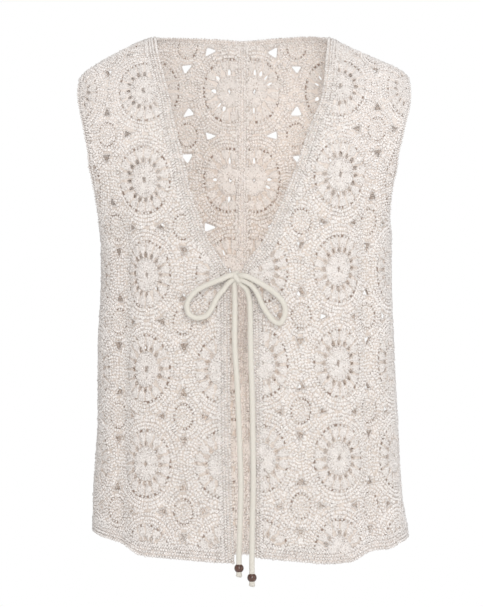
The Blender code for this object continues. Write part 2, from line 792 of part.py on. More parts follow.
def cloth_solid(name, sheet, outline, material, gaps=(), raised=(), proud=0.0):
    """Makes a closed wall from a flat outline with gaps, its outer points raised where asked."""
    flat = [Vector(point) for point in outline]
    rises = [proud] * len(flat)
    edges = [(k, (k + 1) % len(outline)) for k in range(len(outline))]
    for gap in gaps:
        first = len(flat)
        flat += [Vector(point) for point in gap]
        rises += [proud] * len(gap)
        edges += [(first + k, first + (k + 1) % len(gap)) for k in range(len(gap))]
    for point, rise in raised:
        flat.append(Vector(point))
        rises.append(rise)
    places, _, triangles, origins, _, _ = delaunay_2d_cdt(flat, edges, [], 0, 1e-7)
    lifts = np.array([rises[origin[0]] if origin else proud for origin in origins])
    spots = np.array([(place.x, place.y) for place in places])
    kept = []
    for triangle in triangles:
        middle = spots[list(triangle)].mean(axis=0)
        if inside(middle, outline) and not any(inside(middle, gap) for gap in gaps):
            kept.append(tuple(triangle))
    outer, normals = sheet.read(spots, lifts)
    inner = sheet.read(spots, np.full(len(spots), -WALL))[0]
    a, b, c = kept[0]
    facing = float(np.dot(np.cross(outer[b] - outer[a], outer[c] - outer[a]), normals[a]))
    if facing < 0:
        kept = [(a, c, b) for a, b, c in kept]
    count = len(spots)
    faces = list(kept)
    faces += [(count + c, count + b, count + a) for a, b, c in kept]
    used = {(a, b) for triangle in kept for a, b in zip(triangle, triangle[1:] + triangle[:1])}
    order = outer @ WALL_ORDER
    for a, b in sorted(used):
        if (b, a) in used:
            continue
        if order[a] < order[b]:
            faces += [(b, a, count + a), (b, count + a, count + b)]
        else:
            faces += [(b, a, count + b), (a, count + a, count + b)]
    mesh = bpy.data.meshes.new(name)
    mesh.from_pydata([tuple(point) for point in np.vstack([outer, inner])], [], faces)
    shaped = bmesh.new()
    shaped.from_mesh(mesh)
    loose = [vertex for vertex in shaped.verts if not vertex.link_faces]
    bmesh.ops.delete(shaped, geom=loose, context="VERTS")
    shaped.to_mesh(mesh)
    shaped.free()
    mesh.shade_smooth()
    mesh.set_sharp_from_angle(angle=SHARP_ANGLE)
    mesh.materials.append(material)
    thing = bpy.data.objects.new(name, mesh)
    bpy.context.collection.objects.link(thing)
    return thing


def smooth_route(points, step):
    """Reads even points from one smooth curve through a route's points."""
    points = np.asarray(points, float)
    ends = np.vstack([2 * points[0] - points[1], points, 2 * points[-1] - points[-2]])
    fine = []
    for p0, p1, p2, p3 in zip(ends[:-3], ends[1:-2], ends[2:-1], ends[3:]):
        for t in np.linspace(0.0, 1.0, ROUTE_READS, endpoint=False):
            fine.append(
                0.5 * (2 * p1 + (p2 - p0) * t + (2 * p0 - 5 * p1 + 4 * p2 - p3) * t * t
                       + (3 * p1 - p0 - 3 * p2 + p3) * t**3)
            )
    fine.append(points[-1])
    fine = np.array(fine)
    walked = np.concatenate([[0.0], np.cumsum(np.linalg.norm(np.diff(fine, axis=0), axis=1))])
    count = max(2, int(round(walked[-1] / step)) + 1)
    stations = np.linspace(0.0, walked[-1], count)
    return np.column_stack([np.interp(stations, walked, fine[:, k]) for k in range(3)])


def at_knot(point, following):
    """Moves a strand's end along its line to the knot, until its rim just clears the knot's face."""
    centre = np.array(KNOT_CENTRE)
    way = np.asarray(point, float) - centre
    onward = np.asarray(following, float) - np.asarray(point, float)
    reach = np.linalg.norm(way / np.array(KNOT_RADII))
    length = np.linalg.norm(way)
    lean = np.linalg.norm(np.cross(way, onward)) / (length * np.linalg.norm(onward))
    return centre + way * (1.0 / reach + (SEAM_GAP + lean * CORD / 2) / length)


def cord(name, route, material):
    """Makes a round cord along a route."""
    curve = bpy.data.curves.new(name, "CURVE")
    curve.dimensions = "3D"
    curve.bevel_depth = CORD / 2
    curve.bevel_resolution = CORD_ROUNDNESS
    curve.use_fill_caps = True
    places = smooth_route(route, CORD_STEP)
    spline = curve.splines.new("POLY")
    spline.points.add(len(places) - 1)
    for point, place in zip(spline.points, places):
        point.co = (*place, 1.0)
    curve.materials.append(material)
    thing = bpy.data.objects.new(name, curve)
    bpy.context.collection.objects.link(thing)
    return thing


def turned_solid(name, centre, profile, sides, material):
    """Makes a solid of revolution about a vertical axis from a profile of radius and height."""
    mesh = bpy.data.meshes.new(name)
    shaped = bmesh.new()
    rings = []
    for radius, height in profile:
        ring = []
        for k in range(sides):
            turn = 2 * math.pi * k / sides
            ring.append(shaped.verts.new((radius * math.cos(turn), radius * math.sin(turn), height)))
        rings.append(ring)
    for lower, upper in zip(rings, rings[1:]):
        for k in range(sides):
            shaped.faces.new((lower[k], lower[(k + 1) % sides], upper[(k + 1) % sides], upper[k]))
    shaped.faces.new(rings[0][::-1])
    shaped.faces.new(rings[-1])
    shaped.to_mesh(mesh)
    shaped.free()
    mesh.shade_smooth()
    mesh.set_sharp_from_angle(angle=SHARP_ANGLE)
    mesh.materials.append(material)
    thing = bpy.data.objects.new(name, mesh)
    thing.location = centre
    bpy.context.collection.objects.link(thing)
    return thing


def ball_profile(radius, face, rings):
    """Profile of a ball with flat ends, from the bottom up."""
    start = math.asin(face / radius)
    profile = []
    for k in range(rings + 1):
        turn = start + (math.pi - 2 * start) * k / rings
        profile.append((radius * math.sin(turn), -radius * math.cos(turn)))
    return profile


def build_knot(ivory):
    """Makes the bow's knot as a plain rounded lump."""
    mesh = bpy.data.meshes.new("bow_knot")
    shaped = bmesh.new()
    bmesh.ops.create_icosphere(shaped, subdivisions=2, radius=1.0)
    bmesh.ops.scale(shaped, vec=KNOT_RADII, verts=shaped.verts)
    shaped.to_mesh(mesh)
    shaped.free()
    mesh.shade_smooth()
    mesh.materials.append(ivory)
    thing = bpy.data.objects.new("bow_knot", mesh)
    thing.location = KNOT_CENTRE
    bpy.context.collection.objects.link(thing)


def build_tie(side, ivory, wood):
    """Makes one tie: its root on the front's edge, its loop, its hanging end and what is on it."""
    loop = list(LOOPS[side])
    loop[0] = at_knot(loop[0], loop[1])
    loop[-1] = at_knot(loop[-1], loop[-2])
    cord(f"tie_loop_{side}", loop, ivory)
    root = list(ROOTS[side])
    root[0] = at_knot(root[0], root[1])
    cord(f"tie_root_{side}", root, ivory)
    end = list(ENDS[side])
    end[0] = at_knot(end[0], end[1])
    cord(f"tie_end_{side}", end, ivory)
    x, y, z = end[-1]
    bead_drop = math.sqrt(BEAD_RADIUS**2 - BEAD_FACE**2)
    bead_centre = (x, y, z - SEAM_GAP - bead_drop)
    bead = ball_profile(BEAD_RADIUS, BEAD_FACE, BEAD_RINGS)
    turned_solid(f"bead_{side}", bead_centre, bead, BEAD_SIDES, wood)
    top = bead_centre[2] - bead_drop - SEAM_GAP
    half = END_KNOT_LENGTH / 2
    profile = ball_profile(END_KNOT_RADIUS, END_KNOT_FACE, END_KNOT_RINGS)
    tallest = profile[-1][1]
    profile = [(radius, height * half / tallest) for radius, height in profile]
    turned_solid(f"end_knot_{side}", (x, y, top - half), profile, END_KNOT_SIDES, ivory)


def build_side(side, wool):
    """Makes the panels, edgings and hem bands of one side."""
    sheets = {face: Sheet(side, face) for face in ("front", "back")}
    for face, sheet in sheets.items():
        cut = Cut(sheet)
        outline = cut.panel()
        gaps, raised = panel_detail(outline, side, face)
        cloth_solid(f"{face}_panel_{side}", sheet, outline, wool, gaps, raised)
        cloth_solid(f"{face}_hem_band_{side}", sheet, cut.hem_band(), wool, proud=EDGING_PROUD)
        edging = cut.armhole_edging()
        cloth_solid(f"{face}_armhole_edging_{side}", sheet, edging, wool, proud=EDGING_PROUD)
    front_cut = Cut(sheets["front"])
    strip = front_cut.front_edging()
    cloth_solid(f"front_edging_{side}", sheets["front"], strip, wool, proud=EDGING_PROUD)
    back_cut = Cut(sheets["back"])
    strip = back_cut.neck_edging()
    cloth_solid(f"back_neck_edging_{side}", sheets["back"], strip, wool, proud=EDGING_PROUD)
    if side == "left":
        strip = back_cut.seam_strip()
        cloth_solid("centre_back_seam", sheets["back"], strip, wool, proud=EDGING_PROUD)


def main():
    """Builds the vest."""
    clear_scene()
    wool = finish("cream_crochet_cotton", CREAM, 0.95)
    ivory = finish("ivory_cord", IVORY, 0.85)
    wood = finish("dark_wood", DARK_WOOD, 0.35)
    for side in ("left", "right"):
        build_side(side, wool)
        build_tie(side, ivory, wood)
    build_knot(ivory)


main()
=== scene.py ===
"""The looks of a sleeveless crochet vest with a cord bow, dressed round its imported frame.

Lengths are in metres. +Z is up, the front faces -Y and +X is the wearer's left. Every cloth piece
is drawn flat on its side of the vest, by its distance across from the centre line and its distance
along the cloth, and is then laid on the form, as the solids are. The crochet itself is a thin
ground with its gaps cut through, and thousands of yarn stitches laid through it.
"""

import logging
import math
from dataclasses import dataclass, field
from enum import Enum
from typing import Callable

import bpy
import numpy as np
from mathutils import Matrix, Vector
from mathutils.geometry import delaunay_2d_cdt


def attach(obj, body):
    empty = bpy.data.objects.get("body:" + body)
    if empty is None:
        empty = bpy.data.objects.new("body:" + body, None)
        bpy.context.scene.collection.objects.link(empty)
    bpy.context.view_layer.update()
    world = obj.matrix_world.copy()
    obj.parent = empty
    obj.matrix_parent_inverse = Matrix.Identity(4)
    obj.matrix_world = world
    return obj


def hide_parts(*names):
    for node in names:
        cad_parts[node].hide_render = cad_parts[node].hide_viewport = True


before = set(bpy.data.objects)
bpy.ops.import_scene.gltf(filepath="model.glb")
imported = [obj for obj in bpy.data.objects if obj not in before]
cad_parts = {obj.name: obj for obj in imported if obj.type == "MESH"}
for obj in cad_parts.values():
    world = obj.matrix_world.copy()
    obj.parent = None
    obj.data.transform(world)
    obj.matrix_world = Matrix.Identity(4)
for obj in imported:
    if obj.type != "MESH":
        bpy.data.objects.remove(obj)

Array = np.ndarray
Material = bpy.types.Material
Piece = bpy.types.Object
Socket = bpy.types.NodeSocket

LOG = logging.getLogger("vest")
BODY_NAME = "root"

# The cloth
GROUND_OUTER = -0.0013
GROUND_INNER = -0.0017
GROUND_ROUNDING = 0.00015
YARN_MIDDLE = -0.0015
EDGING_WIDTH = 0.0125
HEM_WIDTH = 0.0135
ARMHOLE_EDGING = 0.0055
NECK_EDGING = 0.0090
SEAM_STRIP = 0.0120

# The form, as the solids have it
ROUNDNESS = 2.3
CHEST_LINE = -0.121
UNDERARM = -0.205
SHOULDER_ROUND = 2.1
NAPE_ROUND = 1.5
SHOULDER_SEAM_BACK = 0.005
NECK_HALF_WIDTH = 0.097
NECK_HOLLOW = 0.065
NORMAL_BLUR = 8
SIDE_HEM = {"left": -0.5365, "right": -0.5290}
HEM_EASED = 0.100

BODY = (
    # height, left half width, right half width, front depth, back depth
    (-0.575, 0.1890, 0.1665, 0.1140, 0.1090),
    (-0.530, 0.1845, 0.1662, 0.1135, 0.1060),
    (-0.490, 0.1780, 0.1655, 0.1130, 0.1030),
    (-0.410, 0.1735, 0.1605, 0.1120, 0.0980),
    (-0.320, 0.1690, 0.1600, 0.1130, 0.0960),
    (-0.250, 0.1665, 0.1565, 0.1140, 0.0990),
    (-0.210, 0.1665, 0.1570, 0.1100, 0.1020),
    (-0.190, 0.1672, 0.1612, 0.1070, 0.1030),
    (-0.165, 0.1735, 0.1703, 0.1020, 0.1030),
    (-0.143, 0.1832, 0.1805, 0.0980, 0.1020),
    (-0.121, 0.1972, 0.1942, 0.0930, 0.1000),
    (-0.060, 0.1986, 0.1932, 0.0820, 0.0950),
    (0.030, 0.1986, 0.1932, 0.0700, 0.0880),
)

TOP_LINE = {
    "left": (
        # distance from the middle, height of the back neck or shoulder seam
        (0.0000, 0.0195),
        (0.0600, 0.0228),
        (0.0760, 0.0225),
        (0.0970, 0.0182),
        (0.1130, 0.0105),
        (0.1270, 0.0042),
        (0.1500, -0.0060),
        (0.1760, -0.0175),
        (0.1865, -0.0270),
        (0.1925, -0.0340),
    ),
    "right": (
        # distance from the middle, height of the back neck or shoulder seam
        (0.0000, 0.0195),
        (0.0470, 0.0218),
        (0.0760, 0.0210),
        (0.0970, 0.0185),
        (0.1170, 0.0122),
        (0.1280, 0.0068),
        (0.1520, -0.0056),
        (0.1710, -0.0175),
        (0.1812, -0.0270),
        (0.1872, -0.0340),
    ),
}

NECK_AND_FRONT = (
    # height, reach of the left front's edge, reach of the right front's edge
    (-0.575, 0.0090, 0.0080),
    (-0.430, 0.0090, 0.0125),
    (-0.285, 0.0080, 0.0135),
    (-0.262, 0.0045, 0.0135),
    (-0.246, 0.0000, 0.0145),
    (-0.230, 0.0085, 0.0240),
    (-0.210, 0.0235, 0.0365),
    (-0.185, 0.0360, 0.0465),
    (-0.153, 0.0500, 0.0575),
    (-0.122, 0.0620, 0.0640),
    (-0.098, 0.0700, 0.0700),
    (-0.074, 0.0790, 0.0760),
    (-0.056, 0.0865, 0.0790),
    (-0.031, 0.0910, 0.0850),
    (-0.001, 0.0940, 0.0930),
    (0.019, 0.0970, 0.0970),
)

ARMHOLE = (
    # height, edge's reach as a share of the half width
    (-0.205, 1.0000),
    (-0.199, 0.9955),
    (-0.190, 0.9860),
    (-0.165, 0.9530),
    (-0.143, 0.9200),
    (-0.121, 0.8740),
    (-0.099, 0.8930),
    (-0.077, 0.9180),
    (-0.058, 0.9400),
    (-0.044, 0.9460),
    (-0.030, 0.9390),
)

HEM = (
    # share of the way to the side seam, drop below it: left front, right front, back
    (0.00, 0.0155, 0.0316, 0.0335),
    (0.20, 0.0205, 0.0288, 0.0330),
    (0.40, 0.0248, 0.0258, 0.0308),
    (0.50, 0.0230, 0.0238, 0.0285),
    (0.58, 0.0150, 0.0170, 0.0248),
    (0.64, 0.0120, 0.0122, 0.0213),
    (0.72, 0.0108, 0.0080, 0.0162),
    (0.80, 0.0055, 0.0050, 0.0108),
    (1.00, 0.0000, 0.0000, 0.0000),
)

FOLDS = (
    # side, face, across at top, across at bottom, top, bottom, half width, depth
    ("left", "front", 0.147, 0.155, -0.130, -0.560, 0.015, 0.0065),
    ("right", "front", 0.141, 0.146, -0.150, -0.560, 0.015, 0.0065),
    ("left", "front", 0.060, 0.072, -0.300, -0.600, 0.018, 0.0025),
    ("right", "front", 0.068, 0.078, -0.330, -0.600, 0.018, 0.0030),
    ("left", "back", 0.146, 0.152, -0.120, -0.560, 0.016, 0.0055),
    ("right", "back", 0.150, 0.146, -0.140, -0.560, 0.016, 0.0060),
    ("left", "back", 0.064, 0.074, -0.260, -0.600, 0.018, 0.0035),
    ("right", "back", 0.058, 0.064, -0.240, -0.600, 0.018, 0.0030),
)

# The crochet repeat: big rounds on a lattice, a small round in the middle of each four
PITCH_ACROSS = 0.0875
PITCH_ALONG = 0.1030
SQUEEZE = 0.80
FIRST_COLUMN = {"front": 0.0210, "back": 0.0145}
SMALL_COLUMN = {"front": 0.04375, "back": 0.0478}
FIRST_ROW = {
    "front": {"left": -0.0350, "right": -0.0412},
    "back": {"left": -0.0350, "right": -0.0350},
}
ROWS = range(-6, 2)
COLUMNS = range(-1, 3)
EYES = {
    # face and way: nearest and furthest from the small round's middle, half width
    ("front", "along"): (0.0230, 0.0325, 0.0050),
    ("front", "across"): (0.0210, 0.0295, 0.0043),
    ("back", "along"): (0.0215, 0.0325, 0.0060),
    ("back", "across"): (0.0215, 0.0350, 0.0056),
}
NAPE_EYE_DROP = 0.0068
EYE_TO_EDGE = 0.0022

# How finely the form is laid out, and how far past its edges
GRID_STEP = 0.002
GRID_ACROSS = (-0.030, 0.264)
GRID_ALONG = (-0.600, 0.140)
SECTION_POINTS = 240
PAST_SEAM_TURN = 0.30
PAST_SEAM_POINTS = 40
PAST_CENTRE = 0.040
COLUMN_POINTS = 160
COLUMN_CROWDING = 1.6
PAST_TOP = 0.060
FOLD_FADE = 0.080
SQUARE_FROM = 0.0015
SQUARE_TO = 0.0075
EASE = 0.0002
UNDERARM_SPREAD = 1.15

# The ties, as the solids have them
CORD = 0.0060
KNOT_CENTRE = (-0.0054, -0.1224, -0.2502)
BEAD_RADIUS = 0.0051
BEAD_FACE = 0.0028
END_KNOT_LENGTH = 0.0055
BEAD_GAP = 0.0004

LOOPS = {
    "left": (
        # x, y, z, from the knot out along the top and back to the knot below
        (0.0030, -0.1278, -0.2490),
        (0.0129, -0.1270, -0.2534),
        (0.0280, -0.1250, -0.2621),
        (0.0396, -0.1235, -0.2716),
        (0.0456, -0.1225, -0.2804),
        (0.0464, -0.1215, -0.2901),
        (0.0420, -0.1205, -0.2993),
        (0.0356, -0.1200, -0.2987),
        (0.0286, -0.1202, -0.2912),
        (0.0216, -0.1210, -0.2799),
        (0.0167, -0.1225, -0.2685),
        (0.0108, -0.1238, -0.2599),
        (0.0032, -0.1238, -0.2548),
    ),
    "right": (
        # x, y, z, from the knot out along the top and back to the knot below
        (-0.0135, -0.1262, -0.2488),
        (-0.0216, -0.1262, -0.2524),
        (-0.0399, -0.1240, -0.2599),
        (-0.0507, -0.1222, -0.2664),
        (-0.0582, -0.1205, -0.2762),
        (-0.0593, -0.1192, -0.2847),
        (-0.0561, -0.1185, -0.2912),
        (-0.0485, -0.1182, -0.2944),
        (-0.0388, -0.1190, -0.2922),
        (-0.0323, -0.1202, -0.2836),
        (-0.0270, -0.1212, -0.2728),
        (-0.0194, -0.1222, -0.2631),
        (-0.0130, -0.1226, -0.2552),
    ),
}

ENDS = {
    "left": (
        # x, y, z, from the knot down to the bead
        (-0.0014, -0.1188, -0.2575),
        (0.0043, -0.1184, -0.2625),
        (0.0075, -0.1184, -0.2718),
        (0.0089, -0.1184, -0.2858),
        (0.0092, -0.1184, -0.3235),
        (0.0100, -0.1184, -0.3505),
        (0.0111, -0.1184, -0.3828),
        (0.0119, -0.1184, -0.4367),
        (0.0121, -0.1184, -0.4766),
        (0.0113, -0.1184, -0.5122),
        (0.0108, -0.1184, -0.5499),
        (0.0108, -0.1184, -0.5704),
    ),
    "right": (
        # x, y, z, from the knot down to the bead
        (-0.0082, -0.1186, -0.2570),
        (-0.0078, -0.1182, -0.2660),
        (-0.0076, -0.1180, -0.2858),
        (-0.0078, -0.1180, -0.3235),
        (-0.0061, -0.1180, -0.3505),
        (-0.0043, -0.1180, -0.3828),
        (-0.0022, -0.1180, -0.4367),
        (-0.0011, -0.1180, -0.4766),
        (-0.0022, -0.1180, -0.5197),
        (-0.0032, -0.1180, -0.5499),
        (-0.0032, -0.1180, -0.5602),
    ),
}

ROOTS = {
    "left": ((0.0000, -0.1194, -0.2500), (0.0060, -0.1187, -0.2508), (0.0120, -0.1190, -0.2530)),
    "right": (
        (-0.0108, -0.1194, -0.2500), (-0.0168, -0.1187, -0.2510), (-0.0230, -0.1189, -0.2530),
    ),
}


class Side(Enum):
    """The wearer's sides."""

    LEFT = "left"
    RIGHT = "right"

    @property
    def sign(self) -> float:
        """Which way x runs on this side."""
        return 1.0 if self is Side.LEFT else -1.0

    @property
    def column(self) -> int:
        """Which column of a table for both sides is this side's."""
        return 1 if self is Side.LEFT else 2


class Face(Enum):
    """The two faces of the vest."""

    FRONT = "front"
    BACK = "back"

    @property
    def out(self) -> float:
        """Which way y runs out of this face."""
        return -1.0 if self is Face.FRONT else 1.0

    @property
    def other(self) -> "Face":
        """The face behind this one."""
        return Face.BACK if self is Face.FRONT else Face.FRONT


class Yarn(Enum):
    """The shapes that a stitch can take."""

    GRAIN = 0
    STRAND = 1
    PUFF = 2


def read_curve(table: tuple, column: int, at: Array) -> Array:
    """Reads a table's column on a smooth curve through its rows, which never overshoots them.

    Args:
        table: the rows, the first number of each rising from row to row.
        column: which number of each row to read.
        at: where to read it.

    Returns:
        The curve's values there.
    """
    places, values = np.array([(row[0], row[column]) for row in table], float).T
    at = np.asarray(at, float)
    steps = np.diff(places)
    slopes = np.diff(values) / steps
    tangents = np.concatenate([slopes[:1], np.zeros(len(steps) - 1), slopes[-1:]])
    before, after = slopes[:-1], slopes[1:]
    same = before * after > 0.0
    tangents[1:-1][same] = 2.0 * before[same] * after[same] / (before[same] + after[same])
    i = np.clip(np.searchsorted(places, at) - 1, 0, len(steps) - 1)
    h = steps[i]
    t = (at - places[i]) / h
    rise = values[i] * (2 * t**3 - 3 * t**2 + 1) + values[i + 1] * (3 * t**2 - 2 * t**3)
    return rise + tangents[i] * h * (t**3 - 2 * t**2 + t) + tangents[i + 1] * h * (t**3 - t**2)


def smooth_step(low: float, high: float, at: Array) -> Array:
    """Rises softly from 0 at low to 1 at high."""
    t = np.clip((np.asarray(at, float) - low) / (high - low), 0.0, 1.0)
    return t * t * (3.0 - 2.0 * t)


def unit(vectors: Array) -> Array:
    """Scales vectors to length 1."""
    return vectors / np.maximum(np.linalg.norm(vectors, axis=-1, keepdims=True), 1e-12)


def heading_of(ways: Array) -> Array:
    """The turn of each flat direction."""
    return np.arctan2(ways[:, 1], ways[:, 0])


def upright(across: float, heights: Array) -> Array:
    """Flat points above each other, at one distance across."""
    return np.column_stack([np.full(len(heights), across), heights])


def walked_along(line: Array) -> Array:
    """Distance from a line's start to each of its points."""
    return np.concatenate([[0.0], np.cumsum(np.linalg.norm(np.diff(line, axis=0), axis=1))])


def points_at(line: Array, stations: Array) -> Array:
    """Reads a line at distances from its start."""
    walked = walked_along(line)
    return np.column_stack([np.interp(stations, walked, line[:, k]) for k in range(line.shape[1])])


def even_points(line: Array, step: float, start: float = 0.0) -> tuple[Array, Array]:
    """Reads even points from a line.

    Args:
        line: the line's points.
        step: about how far apart to read.
        start: how far along to begin, as a share of a step.

    Returns:
        The points, and the line's heading at each.
    """
    length = walked_along(line)[-1]
    count = max(2, int(round(length / step)))
    stations = (np.arange(count) + 0.5 + start) * length / count
    stations = stations[stations < length]
    ahead = points_at(line, stations + step / 2) - points_at(line, stations - step / 2)
    return points_at(line, stations), heading_of(unit(ahead))


def resampled(line: Array, step: float) -> Array:
    """Reads a line at even steps and keeps both of its ends."""
    length = walked_along(line)[-1]
    return points_at(line, np.linspace(0.0, length, max(2, int(round(length / step)) + 1)))


def offset_line(line: Array, distance: float, start: tuple, end: tuple) -> Array:
    """Moves a flat line to the right of its travel and sets its two ends.

    Args:
        line: the line's points.
        distance: how far to move it.
        start: where its first point goes.
        end: where its last point goes.

    Returns:
        The moved line.
    """
    ahead = unit(np.gradient(line, axis=0))
    moved = line + np.column_stack([ahead[:, 1], -ahead[:, 0]]) * distance
    moved[0], moved[-1] = start, end
    return moved


def inside(points: Array, loop: Array) -> Array:
    """Says which flat points lie inside a loop.

    Args:
        points: the points.
        loop: the loop's corners.

    Returns:
        True for each point inside.
    """
    found = np.zeros(len(points), bool)
    x, y = points[:, 0], points[:, 1]
    for (x0, y0), (x1, y1) in zip(loop, np.roll(loop, -1, axis=0)):
        if y0 != y1:
            found ^= ((y0 > y) != (y1 > y)) & (x < (x1 - x0) * (y - y0) / (y1 - y0) + x0)
    return found


def distance_to_loop(points: Array, loop: Array) -> Array:
    """Finds the shortest distance from each flat point to a loop.

    Args:
        points: the points.
        loop: the loop's corners.

    Returns:
        The distances.
    """
    best = np.full(len(points), np.inf)
    for start, end in zip(loop, np.roll(loop, -1, axis=0)):
        run, away = end - start, points - start
        share = np.clip(away @ run / max(float(run @ run), 1e-18), 0.0, 1.0)
        best = np.minimum(best, np.linalg.norm(away - share[:, None] * run, axis=1))
    return best


def clear_of(points: Array, loops: list[Array], margin: float) -> Array:
    """Says which flat points lie outside every small loop, a margin clear of it.

    Args:
        points: the points.
        loops: the loops.
        margin: how far clear.

    Returns:
        True for each point that is clear.
    """
    kept = np.ones(len(points), bool)
    order = np.argsort(points[:, 1])
    heights = points[order, 1]
    for loop in loops:
        low, high = loop.min(axis=0) - margin, loop.max(axis=0) + margin
        rows = order[slice(*np.searchsorted(heights, (low[1], high[1])))]
        near = rows[(points[rows, 0] > low[0]) & (points[rows, 0] < high[0])]
        if len(near):
            lost = inside(points[near], loop) | (distance_to_loop(points[near], loop) < margin)
            kept[near[lost]] = False
    return kept


@dataclass
class Form:
    """The outer surface of one side and face, read by distance across and along the cloth.

    Across is measured round the body from the centre line. Along is the height up to the chest
    line, and above it the chest line's height plus the distance up the cloth.
    """

    side: Side
    face: Face

    def __post_init__(self) -> None:
        """Works out the form's points and directions over a fine grid."""
        self.across = np.arange(*GRID_ACROSS, GRID_STEP)
        self.along = np.arange(*GRID_ALONG, GRID_STEP)
        self.mirror = np.array([self.side.sign, 1.0, 1.0])
        self.chest_walked, self.chest_x, _, _ = self.section(CHEST_LINE)
        self.points = self.lay_out()
        self.normals = self.find_normals()
        self.points = self.points + self.normals * self.fold_depths()[..., None]
        self.normals = self.find_normals()
        grid_x = np.interp(self.across, self.chest_walked, self.chest_x)
        self.tops = np.array([self.top_along(x) for x in grid_x])
        self.reaches = np.array([self.side_reach(min(h, CHEST_LINE)) for h in self.along])

    def half_width(self, height: float) -> Array:
        """Half width of the body at a height."""
        return read_curve(BODY, self.side.column, height)

    def depth(self, face: Face, height: float) -> Array:
        """Depth of one face of the body at a height."""
        return read_curve(BODY, 3 if face is Face.FRONT else 4, height)

    def section(self, height: float) -> tuple[Array, Array, Array, float]:
        """Walks the body's outline at a height, from a little past the centre line.

        Args:
            height: where the outline is taken.

        Returns:
            Distance across, x and y of its points, and the side seam's distance across.
        """
        out, power = self.face.out, 2.0 / ROUNDNESS
        turn = np.linspace(0.0, math.pi / 2, SECTION_POINTS)
        past = np.linspace(math.pi / 2, math.pi / 2 + PAST_SEAM_TURN, PAST_SEAM_POINTS)[1:]
        x = float(self.half_width(height)) * np.sin(np.concatenate([turn, past])) ** power
        own = out * float(self.depth(self.face, height)) * np.cos(turn) ** power
        own[-1] = 0.0
        behind = -out * float(self.depth(self.face.other, height)) * np.abs(np.cos(past)) ** power
        y = np.concatenate([own, behind])
        walked = np.concatenate([[0.0], np.cumsum(np.hypot(np.diff(x), np.diff(y)))])
        mirror = slice(1, int((walked < PAST_CENTRE).sum()))
        across, x, y = (
            np.concatenate([sign * values[mirror][::-1], values])
            for sign, values in ((-1, walked), (-1, x), (1, y))
        )
        return across, x, y, float(walked[SECTION_POINTS - 1])

    def side_reach(self, height: float) -> float:
        """Distance across from the centre line to the side seam."""
        return self.section(height)[3]

    def top_back(self, share: float) -> float:
        """How far back of the middle the top edge lies, at a share of the way across the neck."""
        hollow = NECK_HOLLOW * math.sqrt(1.0 - share**2) if self.face is Face.BACK else 0.0
        return SHOULDER_SEAM_BACK + hollow

    def column(self, x: float) -> tuple[Array, Array, Array]:
        """Walks up the cloth from the chest line at one distance from the middle.

        Args:
            x: the distance from the middle.

        Returns:
            Distance walked, y and z of its points.
        """
        top = float(read_curve(TOP_LINE[self.side.value], 1, abs(x)))
        share = min(abs(x) / NECK_HALF_WIDTH, 1.0)
        back = self.top_back(share)
        rounding = SHOULDER_ROUND
        if self.face is Face.BACK:
            rounding = NAPE_ROUND + (SHOULDER_ROUND - NAPE_ROUND) * share**2
        drop = np.linspace(1.0, 0.0, COLUMN_POINTS) ** COLUMN_CROWDING
        z = top - drop * (top - CHEST_LINE)
        inward = np.minimum(abs(x) / self.half_width(z), 1.0) ** ROUNDNESS
        hang = self.face.out * self.depth(self.face, z) * (1.0 - inward) ** (1.0 / ROUNDNESS)
        taper = (1.0 - (1.0 - drop) ** rounding) ** (1.0 / rounding)
        y = back + (hang - back) * taper
        return np.concatenate([[0.0], np.cumsum(np.hypot(np.diff(y), np.diff(z)))]), y, z

    def top_along(self, x: float) -> float:
        """Distance along the cloth at the top edge."""
        return CHEST_LINE + float(self.column(x)[0][-1])

    def across_at(self, x: float, height: float) -> float:
        """Finds how far across a point lies.

        Args:
            x: its distance from the middle.
            height: its height.

        Returns:
            The distance across.
        """
        walked, xs, _, reach = self.section(min(height, CHEST_LINE))
        within = walked <= reach
        return float(np.interp(x, xs[within], walked[within]))

    def cloth_point(self, x: float, height: float) -> tuple[float, float]:
        """Finds the cloth's across and along for a point seen from the front.

        Args:
            x: its distance from the middle.
            height: its height.

        Returns:
            Across and along.
        """
        across = self.across_at(x, height)
        if height <= CHEST_LINE:
            return across, height
        walked, _, z = self.column(x)
        return across, CHEST_LINE + float(np.interp(height, z, walked))

    def lay_out(self) -> Array:
        """Works out the form on a fine grid.

        Returns:
            A point for each step along and across.
        """
        grid = np.zeros((len(self.along), len(self.across), 3))
        low = self.along <= CHEST_LINE
        for i in np.flatnonzero(low):
            walked, *outline, _ = self.section(self.along[i])
            for axis, values in enumerate(outline):
                grid[i, :, axis] = np.interp(self.across, walked, values)
            grid[i, :, 2] = self.along[i]
        climb = self.along[~low] - CHEST_LINE
        for j, x in enumerate(np.interp(self.across, self.chest_walked, self.chest_x)):
            walked, y, z = self.column(x)
            walked = np.append(walked, walked[-1] + PAST_TOP)
            grid[~low, j, 0] = x
            y = np.append(y, y[-1] - self.face.out * PAST_TOP)
            grid[~low, j, 1] = np.interp(climb, walked, y)
            grid[~low, j, 2] = np.interp(climb, walked, np.append(z, z[-1]))
        return grid

    def find_normals(self) -> Array:
        """Finds the outward direction over the grid, a little smoothed.

        Returns:
            A direction for each step along and across.
        """
        along, across = (np.gradient(self.points, axis=axis) for axis in (0, 1))
        normals = unit(np.cross(across, along) * -self.face.out)
        for axis in (0, 1):
            for _ in range(NORMAL_BLUR):
                before, after = (np.roll(normals, way, axis=axis) for way in (1, -1))
                normals = (before + 2.0 * normals + after) / 4.0
        return unit(normals)

